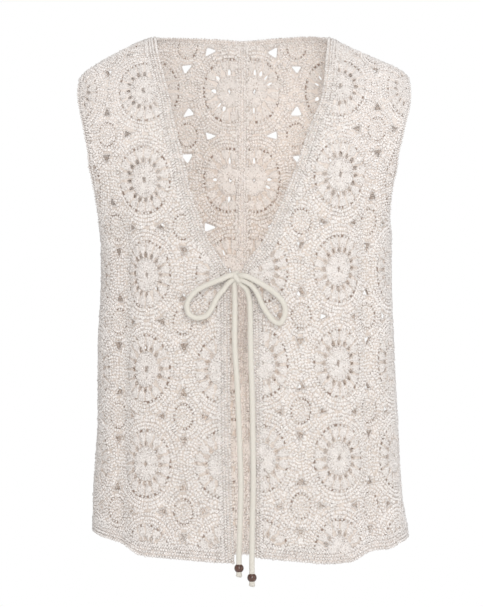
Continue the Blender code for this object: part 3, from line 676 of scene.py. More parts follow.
    def fold_depths(self) -> Array:
        """Works out how far each place lies in or out for the vest's long soft folds.

        Returns:
            A depth for each step along and across.
        """
        across, along = np.meshgrid(self.across, self.along)
        depths = np.zeros_like(across)
        for side, face, at_top, at_bottom, top, bottom, half_width, depth in FOLDS:
            if (side, face) == (self.side.value, self.face.value):
                way = np.clip((top - along) / (top - bottom), 0.0, 1.0)
                middle = at_top + (at_bottom - at_top) * way
                swell = smooth_step(0.0, FOLD_FADE, top - along)
                depths -= depth * swell * np.exp(-(((across - middle) / half_width) ** 2))
        return depths

    def blended(self, grid: Array, flat: Array) -> Array:
        """Reads a grid of vectors between its points.

        Args:
            grid: the vectors.
            flat: across and along of each place.

        Returns:
            A vector for each place.
        """
        i = (flat[:, 1] - self.along[0]) / GRID_STEP
        j = (flat[:, 0] - self.across[0]) / GRID_STEP
        i0 = np.clip(np.floor(i).astype(int), 0, len(self.along) - 2)
        j0 = np.clip(np.floor(j).astype(int), 0, len(self.across) - 2)
        a, b = (i - i0)[:, None], (j - j0)[:, None]
        lower, upper = (grid[k, j0] * (1 - b) + grid[k, j0 + 1] * b for k in (i0, i0 + 1))
        return lower * (1 - a) + upper * a

    def read(self, flat: Array, lift: Array) -> tuple[Array, Array]:
        """Lays flat points on the form, squared off along the side and shoulder seams.

        Args:
            flat: across and along of each point.
            lift: how far each lies out of the form's outer skin.

        Returns:
            The points and the outward direction at each.
        """
        normals = unit(self.blended(self.normals, flat))
        x = np.interp(flat[:, 0], self.chest_walked, self.chest_x)
        to_side = np.abs(np.interp(flat[:, 1], self.along, self.reaches) - flat[:, 0])
        to_top = np.abs(np.interp(flat[:, 0], self.across, self.tops) - flat[:, 1])
        low = flat[:, 1] <= UNDERARM + 2 * EASE
        high = (flat[:, 1] > CHEST_LINE) & (x >= NECK_HALF_WIDTH)
        to_seam = np.where(low, to_side, np.where(high, to_top, 1.0))
        normals[:, 1] *= np.clip((to_seam - SQUARE_FROM) / (SQUARE_TO - SQUARE_FROM), 0.0, 1.0)
        normals = unit(normals)
        laid = self.blended(self.points, flat) + normals * np.broadcast_to(lift, len(flat))[:, None]
        return laid * self.mirror, normals * self.mirror

    def direction(self, flat: Array, heading: Array) -> Array:
        """Turns flat headings into directions on the form.

        Args:
            flat: across and along of each place.
            heading: the heading there.

        Returns:
            The directions.
        """
        way = np.column_stack([np.cos(heading), np.sin(heading)]) * GRID_STEP
        ahead = self.blended(self.points, flat + way) - self.blended(self.points, flat - way)
        return unit(ahead) * self.mirror


@dataclass
class Cut:
    """The flat cutting lines of one side and face: edges, seams and hem."""

    form: Form
    step: float = 0.003
    neck_points: int = 40
    front_top: float = 0.006
    armhole_top: float = -0.038
    armhole_points: int = 57

    def __post_init__(self) -> None:
        """Reads the form's longest lines once."""
        self.side, self.face = self.form.side, self.form.face
        self.side_hem = SIDE_HEM[self.side.value]
        front = self.face is Face.FRONT
        self.inner = 0.0 if front else SEAM_STRIP / 2
        self.edge_width = EDGING_WIDTH if front else NECK_EDGING
        self.edge = self.front_line() if front else self.neck_line()
        self.armhole = self.armhole_line()

    def hem_at(self, across: float) -> float:
        """Finds the hem's height. The back's is eased, so that its two sides meet at the centre.

        Args:
            across: the distance across.

        Returns:
            The height.
        """
        column = 3 if self.face is Face.BACK else self.side.column
        share = np.clip(across / self.form.side_reach(self.side_hem), 0.0, 1.0)
        height = self.side_hem - float(read_curve(HEM, column, share))
        if self.face is Face.FRONT:
            return height
        eased = 1 - float(smooth_step(0.0, HEM_EASED, across))
        return height + (sum(SIDE_HEM.values()) / 2 - self.side_hem) * eased

    def on_shoulder(self, across: float) -> tuple[float, float]:
        """A point of the shoulder seam."""
        x = float(np.interp(across, self.form.chest_walked, self.form.chest_x))
        return across, self.form.top_along(x)

    def top_point(self, x: float) -> tuple[float, float]:
        """A point of the top edge, by its distance from the middle."""
        return self.form.across_at(x, 0.0), self.form.top_along(x)

    def on_side(self, height: float) -> tuple[float, float]:
        """A point of the side seam."""
        return self.form.side_reach(height), height

    def front_line(self) -> Array:
        """Reads the front and neck edge.

        Returns:
            The line from the hem up to the shoulder seam.
        """
        column = self.side.column
        line = []
        for height in np.arange(self.hem_at(NECK_AND_FRONT[0][column]), self.front_top, self.step):
            x = float(read_curve(NECK_AND_FRONT, column, height))
            line.append(self.form.cloth_point(x, float(height)))
        return resampled(np.array([*line, self.top_point(NECK_HALF_WIDTH)]), self.step)

    def neck_line(self) -> Array:
        """Reads the back neck edge.

        Returns:
            The line from the centre back to the shoulder seam.
        """
        turns = np.linspace(math.pi / 2, 0.0, self.neck_points)[::-1]
        line = np.array([self.top_point(NECK_HALF_WIDTH * math.sin(turn)) for turn in turns])
        line[0, 0] = 0.0
        return line

    def armhole_line(self) -> Array:
        """Reads the armhole's edge.

        Returns:
            The line from the underarm up to the shoulder's tip.
        """
        line = []
        for height in np.linspace(UNDERARM, self.armhole_top, self.armhole_points):
            x = float(read_curve(ARMHOLE, 1, height)) * float(self.form.half_width(height))
            line.append(self.form.cloth_point(x, float(height)))
        tip = self.top_point(float(ARMHOLE[-1][1] * self.form.half_width(0.0)))
        return resampled(np.array([*line, tip]), self.step)

    def edge_offset(self, distance: float) -> Array:
        """Moves the front edge, or the back neck, in by a distance.

        Args:
            distance: how far in.

        Returns:
            The moved line, up to the shoulder seam.
        """
        (across, along), end = self.edge[0], self.edge[-1]
        if self.face is Face.FRONT:
            start = (across + distance, self.hem_at(across + distance))
        else:
            start = (across, along - distance)
        return offset_line(self.edge, distance, start, self.on_shoulder(end[0] + distance))

    def armhole_offset(self, distance: float) -> Array:
        """Moves the armhole's edge in by a distance, its ends on the seams.

        Args:
            distance: how far in.

        Returns:
            The moved line.
        """
        start = self.on_side(self.armhole[0][1] - distance * UNDERARM_SPREAD)
        end = self.on_shoulder(self.armhole[-1][0] - distance)
        return offset_line(self.armhole, -distance, start, end)

    def hem_offset(self, distance: float, start: float) -> Array:
        """Moves the hem up by a distance.

        Args:
            distance: how far up.
            start: where across it starts.

        Returns:
            The moved line, to the side seam.
        """
        end = self.on_side(self.side_hem + distance)[0]
        stations = np.linspace(start, end, int(end / self.step))
        return np.array([(across, self.hem_at(across) + distance) for across in stations])

    def side_line(self, low: float, high: float) -> Array:
        """The side seam between two heights."""
        return np.array([self.on_side(height) for height in np.arange(low, high, self.step)])

    def shoulder_line(self, start: float, end: float) -> Array:
        """The shoulder seam between two distances across."""
        count = max(3, int(abs(end - start) / self.step))
        return np.array([self.on_shoulder(across) for across in np.linspace(start, end, count)])

    def panel(self) -> Array:
        """Draws the panel inside its edgings.

        Returns:
            Its outline.
        """
        half_step = self.step / 2
        armhole = self.armhole_offset(ARMHOLE_EDGING)
        edge = self.edge_offset(self.edge_width)
        start = self.inner
        if self.face is Face.FRONT:
            floor = HEM_WIDTH + np.array([self.hem_at(across) for across in edge[:, 0]])
            edge = edge[edge[:, 1] > floor + half_step]
            start = edge[0][0]
        else:
            top = edge[0][1]
            low = self.hem_at(start) + HEM_WIDTH + self.step
            heights = np.append(np.arange(low, top - half_step, self.step), top)
            edge = np.vstack([upright(start, heights), edge[edge[:, 0] > start + half_step]])
        hem = self.hem_offset(HEM_WIDTH, start)
        side = self.side_line(self.side_hem + HEM_WIDTH, armhole[0][1] - half_step)
        shoulder = self.shoulder_line(armhole[-1][0], edge[-1][0])
        return np.vstack([hem, side[1:], armhole, shoulder[1:-1], edge[::-1]])

    def edging(self) -> Array:
        """The strip along the front and the neck."""
        return np.vstack([self.edge_offset(self.edge_width), self.edge_offset(0.0)[::-1]])

    def armhole_edging(self) -> Array:
        """The strip along the armhole."""
        return np.vstack([self.armhole_offset(0.0), self.armhole_offset(ARMHOLE_EDGING)[::-1]])

    def hem_starts(self) -> tuple[float, float]:
        """Finds where the hem band starts across.

        Returns:
            The start of its low and of its high edge.
        """
        if self.face is Face.BACK:
            return self.inner, self.inner
        across, along = self.edge_offset(EDGING_WIDTH).T
        return float(across[0]), float(np.interp(along[0] + HEM_WIDTH, along, across))

    def hem_band(self) -> Array:
        """The strip along the hem."""
        low, high = self.hem_starts()
        return np.vstack([self.hem_offset(0.0, low), self.hem_offset(HEM_WIDTH, high)[::-1]])

    def seam_strip(self) -> Array:
        """The ribbed strip down the centre back."""
        heights = np.arange(self.hem_at(0.0), float(self.edge_offset(NECK_EDGING)[0][1]), self.step)
        return np.vstack([upright(self.inner, heights), upright(-self.inner, heights)[::-1]])


def on_round(centre: Array, radius: Array, turns: Array) -> Array:
    """Points round a centre, on a round that is taller than wide, as the cloth hangs."""
    across, along = radius * SQUEEZE * np.cos(turns), radius * np.sin(turns)
    return np.column_stack([centre[0] + across, centre[1] + along])


def outward(turns: Array) -> Array:
    """Heading away from a round's centre."""
    return np.arctan2(np.sin(turns), SQUEEZE * np.cos(turns))


def round_the_rim(turns: Array) -> Array:
    """Heading round a round's rim."""
    return np.arctan2(np.cos(turns), -SQUEEZE * np.sin(turns))


def reach_from(points: Array, centre: Array) -> Array:
    """Radius of the round about a centre on which each point lies."""
    away = points - centre
    return np.hypot(away[:, 0] / SQUEEZE, away[:, 1])


def evenly(count: int, shift: float = 0.0) -> Array:
    """Turns spread evenly round a circle, shifted by a share of a step."""
    return (np.arange(count) + 0.5 + shift) * 2 * math.pi / count


def to_and_fro(row: int) -> int:
    """Which way a row slants: each row the other way."""
    return 1 if row % 2 else -1


@dataclass
class Stitches:
    """Yarn stitches gathered in the flat cloth, and the draws that make them uneven."""

    rng: np.random.Generator
    columns: dict = field(default_factory=dict)
    smallest: float = 0.86
    largest: float = 1.12

    def add(
        self,
        places: Array,
        headings: Array,
        half: tuple[float, float, float],
        lift: float = 0.0,
        shape: Yarn = Yarn.GRAIN,
        shade: float = 0.5,
    ) -> None:
        """Adds stitches of one kind.

        Args:
            places: across and along of each middle.
            headings: which way each points.
            half: half its depth, width and length.
            lift: how far its middle lies out of the cloth's middle.
            shape: which shape it takes.
            shade: how light its yarn is, from 0 to 1; set low on the puffs, it is painted shade.
        """
        count = len(places)
        given = dict(headings=headings, lifts=lift, shapes=shape.value, shades=shade)
        sized = {name: (value, count) for name, value in given.items()}
        sized.update(places=(places, (count, 2)), halves=(half, (count, 3)))
        for name, (value, size) in sized.items():
            self.columns.setdefault(name, []).append(np.broadcast_to(value, size).astype(float))

    def all(self, name: str) -> Array:
        """One column of all stitches."""
        return np.concatenate(self.columns[name])

    def keep(self, wanted: Callable[[Array], Array]) -> None:
        """Keeps only the stitches whose middles a test accepts."""
        kept = wanted(self.all("places"))
        self.columns = {name: [self.all(name)[kept]] for name in self.columns}

    def uneven(self, half: tuple, count: int) -> Array:
        """Draws uneven half sizes."""
        return half * self.rng.uniform(self.smallest, self.largest, (count, 3))

    def shades(self, middle: float, spread: float, count: int) -> Array:
        """Draws how light each stitch's yarn is."""
        return np.clip(middle + self.rng.normal(0, spread, count), 0, 1)


@dataclass(frozen=True)
class Spread:
    """How far the stitches of a row stray from their even places and looks."""

    turn: float
    place: float
    heading: float
    shade: float
    lift: float


@dataclass(frozen=True)
class BigRound:
    """A big round: petals, a ring of gaps between posts, puffs and a rim dotted with painted shade.
    """

    heart: float = 0.0042
    heart_waist: float = 0.0008
    heart_arms: int = 4
    heart_uneven: tuple = (0.8, 1.1)
    petals: int = 6
    petal_from: float = 0.0026
    petal_to: float = 0.0178
    petal_half_width: float = 0.0069
    chain: float = 0.0178
    chain_loops: int = 24
    chain_half: tuple = (0.0017, 0.0012, 0.0024)
    gaps: int = 16
    gap_near: float = 0.0192
    gap_far: float = 0.0256
    gap_half_width: float = 0.0028
    gap_corners: tuple = (
        # near, middle or far, and the share of the half width
        (0, -0.75), (0, 0.75), (1, 1.0), (2, 0.35), (2, -0.35), (1, -1.0),
    )
    gap_widths: tuple = (0.50, 1.08)
    gap_narrowing: float = 0.4
    near_uneven: tuple = (-0.0003, 0.0003)
    far_uneven: tuple = (-0.0010, 0.0004)
    turn_uneven: tuple = (-0.02, 0.02)
    post_half: tuple = (0.0018, 0.0014, 0.0038)
    puff_from: float = 0.0234
    puff_to: float = 0.0356
    puff_half_width: float = 0.0047
    puff_half_depth: float = 0.0012
    puff_widths: tuple = (0.92, 1.06)
    puff_lengths: tuple = (0.95, 1.04)
    crown: float = 0.0362
    crown_loops: int = 40
    crown_half: tuple = (0.0017, 0.0018, 0.0018)
    crown_uneven: float = 0.026
    rim: float = 0.0378
    swelling: float = 0.0003
    row_slant: float = 0.25
    gathering: tuple = (0.60, 0.80, 0.86)
    stitch_half: tuple = (0.0021, 0.00185, 0.00225)
    stitch_shade: float = 0.56
    spread: Spread = Spread(turn=0.0002, place=0.00035, heading=0.28, shade=0.16, lift=0.0002)
    disc_rows: tuple = (
        # radius, stitches, lift
        (0.0052, 9, 0.0002), (0.0092, 17, 0.0004), (0.0130, 24, 0.0004), (0.0159, 30, 0.0002),
    )
    puff_rows: tuple = (
        # radius, stitches, lift
        (0.0258, 32, 0.0001), (0.0294, 48, 0.0004), (0.0332, 48, 0.0001),
    )

    def gap_loops(
        self, centre: Array, rng: np.random.Generator, closed: float
    ) -> list[Array]:
        """Outlines of the heart and of the ring of gaps.

        Args:
            centre: the round's centre.
            rng: draws each gap's unevenness.
            closed: what share of the gaps is drawn shut.

        Returns:
            One loop for each gap.
        """
        corners = 2 * self.heart_arms
        spokes = np.where(np.arange(corners) % 2, self.heart, self.heart_waist)
        spokes = spokes * rng.uniform(*self.heart_uneven, corners)
        loops = [on_round(centre, spokes, evenly(corners, rng.uniform(0, 1)))]
        level, share = np.array(self.gap_corners).T
        for turn in np.arange(self.gaps) * (2 * math.pi / self.gaps):
            if rng.random() < closed:
                continue
            wide = self.gap_half_width * rng.uniform(*self.gap_widths)
            wide = wide * (1 - self.gap_narrowing * closed)
            near = self.gap_near + rng.uniform(*self.near_uneven)
            far = self.gap_far + rng.uniform(*self.far_uneven)
            reach = np.array((near, (near + far) / 2, far))[level.astype(int)]
            turns = turn + rng.uniform(*self.turn_uneven) + share * wide / reach
            loops.append(on_round(centre, reach, turns))
        return loops

    def rise(self, radius: Array) -> Array:
        """How far the ground rises over the petals and the puffs.

        Args:
            radius: where to read it.

        Returns:
            The rise at each radius.
        """
        total = np.zeros(len(radius))
        for near, far in ((self.heart, self.petal_to), (self.puff_from, self.puff_to)):
            swell = np.sin(np.clip((radius - near) / (far - near), 0, 1) * math.pi)
            total += self.swelling * np.maximum(swell, 0.0)
        return total

    def stitch(self, bag: Stitches, centre: Array) -> None:
        """Adds the round's stitches inside its rim.

        Args:
            bag: takes the stitches.
            centre: the round's centre.
        """
        start = bag.rng.uniform(0, 1)
        petals, turns, posts = (evenly(*spread) for spread in (
            (self.petals, start), (self.chain_loops, start), (self.gaps,)
        ))
        self.cluster(bag, centre, petals, (self.petal_from, self.petal_to), self.petal_half_width)
        bag.add(on_round(centre, self.chain, turns), round_the_rim(turns), self.chain_half, 0.0001)
        at = (self.gap_near + self.gap_far) / 2
        bag.add(on_round(centre, at, posts), outward(posts), self.post_half, 0.0, Yarn.STRAND, 0.35)
        self.cluster(bag, centre, posts, (self.puff_from, self.puff_to), self.puff_half_width)
        self.cover(bag, centre, self.disc_rows, start)
        self.cover(bag, centre, self.puff_rows, 0.0, self.gaps)
        turns = evenly(self.crown_loops, bag.rng.uniform(0, 1))
        turns = turns + bag.rng.normal(0, self.crown_uneven, self.crown_loops)
        places = on_round(centre, self.crown, turns)
        bag.add(places, outward(turns), self.crown_half, 0.0001, Yarn.GRAIN, 0.55)

    def cover(
        self, bag: Stitches, centre: Array, rows: tuple, start: float, groups: int = 0
    ) -> None:
        """Adds rows of small stitches over the lumps.

        Args:
            bag: takes the stitches.
            centre: the round's centre.
            rows: each row's radius, count and lift.
            start: how far round each row begins, as a share of a step.
            groups: how many groups each row gathers into, or none.
        """
        rng, spread = bag.rng, self.spread
        for k, (radius, count, lift) in enumerate(rows):
            turns = evenly(count, start + 0.5 * (k % 2))
            if groups:
                each = count // groups
                shares = (np.arange(each) + 0.5) / each - 0.5
                pitch = 2 * math.pi / groups
                turns = evenly(groups)[:, None] + shares[None, :] * pitch * self.gathering[k]
                turns = turns.ravel()
            turns = turns + rng.normal(0, spread.turn / radius, count)
            places = on_round(centre, radius, turns) + rng.normal(0, spread.place, (count, 2))
            headings = outward(turns) + self.row_slant * to_and_fro(k)
            headings = headings + rng.normal(0, spread.heading, count)
            halves = bag.uneven(self.stitch_half, count)
            shades = bag.shades(self.stitch_shade, spread.shade, count)
            lifts = rng.normal(lift, spread.lift, count)
            bag.add(places, headings, halves, lifts, Yarn.GRAIN, shades)

    def cluster(
        self, bag: Stitches, centre: Array, turns: Array, span: tuple, half_width: float
    ) -> None:
        """Adds a ring of puffs: soft lumps that the stitches over them swell on.

        Args:
            bag: takes the stitches.
            centre: the round's centre.
            turns: where round the centre the puffs lie.
            span: the radii at which they begin and end.
            half_width: half their width.
        """
        count = len(turns)
        near, far = span
        widths = half_width * bag.rng.uniform(*self.puff_widths, count)
        lengths = (far - near) / 2 * bag.rng.uniform(*self.puff_lengths, count)
        half = np.column_stack([np.full(count, self.puff_half_depth), widths, lengths])
        places = on_round(centre, (near + far) / 2, turns)
        # painted shade: the puffs' yarn is set dark, for the shade in the creases between the
        # stitches over them
        bag.add(places, outward(turns), half, 0.0, Yarn.PUFF, 0.15)


@dataclass(frozen=True)
class SmallRound:
    """A small round: a dense disc inside a rim dotted with painted shade."""

    rings: tuple = (
        # radius, stitches, half width, half length
        (0.0027, 7, 0.0013, 0.0019), (0.0065, 12, 0.0018, 0.0021),
        (0.0103, 19, 0.0018, 0.0021), (0.0137, 20, 0.0014, 0.0015),
    )
    half_depth: float = 0.0020
    shade: float = 0.78
    lift: float = 0.0002
    slant: float = 0.15
    spread: Spread = Spread(turn=0.0003, place=0.0002, heading=0.20, shade=0.12, lift=0.0002)
    dots: float = 0.0137
    rim: float = 0.0152
    swelling: float = 0.0003
    swells_within: float = 0.004

    def rise(self, radius: Array) -> Array:
        """How far the ground rises at each radius."""
        return self.swelling * smooth_step(self.dots, self.dots - self.swells_within, radius)

    def stitch(self, bag: Stitches, centre: Array) -> None:
        """Adds the round's stitches inside its rim.

        Args:
            bag: takes the stitches.
            centre: the round's centre.
        """
        rng, spread = bag.rng, self.spread
        for radius, count, *half in self.rings:
            turns = evenly(count, rng.uniform(0, 1))
            turns = turns + rng.normal(0, spread.turn / radius, count)
            places = on_round(centre, radius, turns) + rng.normal(0, spread.place, (count, 2))
            headings = outward(turns) + rng.normal(self.slant, spread.heading, count)
            shades = bag.shades(self.shade, spread.shade, count)
            lifts = rng.normal(self.lift, spread.lift, count)
            bag.add(places, headings, (self.half_depth, *half), lifts, Yarn.GRAIN, shades)


@dataclass
class Lace:
    """The crochet pattern of one face: its rounds, gaps and dense rows."""

    side: Side
    face: Face
    outline: Array
    seed: int
    row: float = 0.0043
    stitch: float = 0.0032
    slant: float = 0.42
    rings_out: int = 5
    first_ring: float = 0.42
    overlap: float = 0.30
    grain: tuple = (0.0020, 0.00190, 0.00245)
    shade: float = 0.80
    spread: Spread = Spread(turn=0.0003, place=0.00028, heading=0.20, shade=0.12, lift=0.00030)
    missed: float = 0.015
    wander: float = 0.0012 * 0.6
    past_panel: float = 0.060
    gap_to_edge: float = 0.0012
    stitch_to_edge: float = 0.0004
    stitch_to_eye: float = 0.0023
    eye_uneven: tuple = (0.0009, 0.0019)
    closed: tuple = (0.08, 0.50)
    easing: tuple = ((0.20, 0.0), (0.05, 0.05), (0.0, 0.20))
    rim_out: float = 1.22
    rim_stitch: float = 0.0031
    rim_half: tuple = (0.0018, 0.0010, 0.0019)

    def __post_init__(self) -> None:
        """Lays out the rounds and cuts the gaps that lie wholly on the panel."""
        self.big, self.small = BigRound(), SmallRound()
        self.rng = np.random.default_rng(self.seed)
        across, along = FIRST_COLUMN[self.face.value], FIRST_ROW[self.face.value][self.side.value]
        spots = [
            (across + k * PITCH_ACROSS, along + row * PITCH_ALONG) for row in ROWS for k in COLUMNS
        ]
        between = SMALL_COLUMN[self.face.value]
        self.bigs = self.near_panel(spots)
        self.smalls = self.near_panel([(x + between, y + PITCH_ALONG / 2) for x, y in spots])
        self.rounds = [(centre, self.big) for centre in self.bigs]
        self.rounds += [(centre, self.small) for centre in self.smalls]
        self.eyes = self.cut_eyes()
        self.gaps = self.cut_gaps()

    def near_panel(self, spots: list[tuple]) -> list[Array]:
        """Picks the spots that lie on the panel or near it.

        Args:
            spots: the spots.

        Returns:
            The near ones.
        """
        low = self.outline.min(axis=0) - self.past_panel
        high = self.outline.max(axis=0) + self.past_panel
        return [np.array(spot) for spot in spots if all(low < spot) and all(spot < high)]

    def by_face(self, pair: tuple) -> float:
        """Picks the front's or the back's value of a pair."""
        return pair[0] if self.face is Face.FRONT else pair[1]

    def handmade(self, flat: Array) -> Array:
        """Shifts flat points a little and smoothly, as handwork wanders.

        Args:
            flat: the points.

        Returns:
            The shifted points.
        """
        x, y = flat[:, 0], flat[:, 1]
        dx = np.sin(71 * y + 23 * x + 1.3) + 0.6 * np.sin(131 * y - 57 * x + 0.4)
        dy = np.sin(83 * x - 31 * y + 2.1) + 0.6 * np.sin(117 * x + 49 * y + 4.0)
        return flat + self.wander * np.column_stack([dx, dy])

    def on_panel(self, loops: list[Array], margin: float) -> list[bool]:
        """Says which loops lie on the panel.

        Args:
            loops: the loops.
            margin: how far clear of the panel's outline they have to be.

        Returns:
            True for each loop on the panel.
        """
        spots = np.vstack(loops)
        good = inside(spots, self.outline) & (distance_to_loop(spots, self.outline) > margin)
        ends = np.cumsum([len(loop) for loop in loops])
        return [bool(part.all()) for part in np.split(good, ends[:-1])]

    def cut_eyes(self) -> list[Array]:
        """Cuts the pointed gaps round the small rounds, as the solids have them.

        Returns:
            One loop for each, its corners eased.
        """
        eyes, sharp = [], []
        ways = (("along", (0, 1)), ("across", (1, 0)), ("along", (0, -1)), ("across", (-1, 0)))
        for small in self.smalls:
            at_nape = self.face is Face.BACK and small[1] > 0.0
            for way, (dx, dy) in ways:
                if at_nape and dx > 0:
                    continue
                centre = small - (0.0, NAPE_EYE_DROP if at_nape and dx < 0 else 0.0)
                near, far, half = EYES[self.face.value, way]
                corners = np.array(((near, -half), (near, half), (far, 0.0)))
                uneven = self.rng.uniform(-1.0, 1.0, corners.shape) * self.by_face(self.eye_uneven)
                here = corners + uneven
                to_last, to_next = np.roll(here, 1, axis=0) - here, np.roll(here, -1, axis=0) - here
                eased = np.stack([here + to_last * a + to_next * b for a, b in self.easing], axis=1)
                for group, (r, s) in ((sharp, corners.T), (eyes, eased.reshape(-1, 2).T)):
                    group.append(
                        np.column_stack([centre[0] + dx * r - dy * s, centre[1] + dy * r + dx * s])
                    )
        good = self.on_panel(sharp, EYE_TO_EDGE)
        return [self.handmade(eye) for eye, on_it in zip(eyes, good) if on_it]

    def cut_gaps(self) -> list[Array]:
        """Cuts the small gaps of the big rounds.

        Returns:
            One loop for each that lies on the panel.
        """
        closed = self.by_face(self.closed)
        rings = [self.big.gap_loops(centre, self.rng, closed) for centre in self.bigs]
        gaps = [self.handmade(loop) for ring in rings for loop in ring]
        return [gap for gap, good in zip(gaps, self.on_panel(gaps, self.gap_to_edge)) if good]

    def rise(self, flat: Array) -> Array:
        """Works out how far the ground rises over the rounds.

        Args:
            flat: the places.

        Returns:
            The rise at each.
        """
        high = np.zeros(len(flat))
        for centre, kind in self.rounds:
            radius = reach_from(flat, centre)
            near = radius < kind.rim
            high[near] = kind.rise(radius[near])
        return high

    def row_reach(self, flat: Array, skip: int) -> Array:
        """Finds how far places lie beyond the nearest other round.

        Args:
            flat: the places.
            skip: which round is left out.

        Returns:
            The least distance beyond a rim.
        """
        others = self.rounds[:skip] + self.rounds[skip + 1 :]
        return np.min([reach_from(flat, centre) - kind.rim for centre, kind in others], axis=0)

    def dense_rows(self, bag: Stitches) -> None:
        """Adds the dense rows that fill the cloth between the rounds.

        Args:
            bag: takes the stitches.
        """
        rng, spread = bag.rng, self.spread
        for index, (centre, kind) in enumerate(self.rounds):
            for ring in range(self.rings_out):
                radius = kind.rim + (ring + self.first_ring) * self.row
                count = int(2 * math.pi * radius * (1 + SQUEEZE) / 2 / self.stitch)
                turns = evenly(count, rng.uniform(0, 1))
                turns = turns + rng.normal(0, spread.turn / radius, count)
                places = on_round(centre, radius, turns) + rng.normal(0, spread.place, (count, 2))
                mine = self.row_reach(places, index) > radius - kind.rim - self.overlap * self.row
                mine &= rng.random(count) > self.missed
                headings = outward(turns) + self.slant * to_and_fro(ring)
                headings = headings + rng.normal(0, spread.heading, count)
                lifts = rng.normal(0, spread.lift, count)
                shades = bag.shades(self.shade, spread.shade, count)
                halves = bag.uneven(self.grain, count)
                mine_of = (column[mine] for column in (places, headings, halves, lifts))
                bag.add(*mine_of, Yarn.GRAIN, shades[mine])

    def eye_rims(self, bag: Stitches) -> None:
        """Adds a row of stitches round each pointed gap.

        Args:
            bag: takes the stitches.
        """
        for eye in self.eyes:
            middle = eye.mean(axis=0)
            loop = middle + (eye - middle) * self.rim_out
            places, headings = even_points(np.vstack([loop, loop[:1]]), self.rim_stitch)
            bag.add(places, headings, self.rim_half, 0.0, Yarn.GRAIN, 0.55)

    def on_cloth(self, flat: Array) -> Array:
        """Says which places have cloth under them: on the panel and off its pointed gaps."""
        far_in = distance_to_loop(flat, self.outline) > self.stitch_to_edge
        return inside(flat, self.outline) & far_in & clear_of(flat, self.eyes, self.stitch_to_eye)

    def stitches(self) -> Stitches:
        """Gathers every stitch of the panel.

        Returns:
            The stitches.
        """
        bag = Stitches(self.rng)
        for centre, kind in self.rounds:
            kind.stitch(bag, centre)
        self.dense_rows(bag)
        bag.columns["places"] = [self.handmade(places) for places in bag.columns["places"]]
        bag.keep(self.on_cloth)
        self.eye_rims(bag)
        return bag


def new_piece(name: str, data: bpy.types.ID) -> Piece:
    """Puts a mesh, a light or a camera in the scene.

    Args:
        name: the piece's name.
        data: the mesh, light or camera.

    Returns:
        The piece.
    """
    piece = bpy.data.objects.new(name, data)
    bpy.context.collection.objects.link(piece)
    return piece


def smooth_piece(
    name: str,
    verts: list,
    faces: list,
    material: Material,
    chart: str,
    spots: list | None = None,
) -> Piece:
    """Makes a smooth mesh with a chart and a material, and puts it in the scene.

    Args:
        name: the piece's name.
        verts: its points.
        faces: the points round each face.
        material: its finish.
        chart: its chart's name.
        spots: where on the chart each corner lies, or none for a plain chart.

    Returns:
        The piece.
    """
    mesh = bpy.data.meshes.new(name)
    mesh.from_pydata(verts, [], faces)
    layer = mesh.uv_layers.new(name=chart)
    if spots is not None:
        layer.data.foreach_set("uv", np.asarray(spots, np.float32).ravel())
    mesh.shade_smooth()
    mesh.materials.append(material)
    return new_piece(name, mesh)


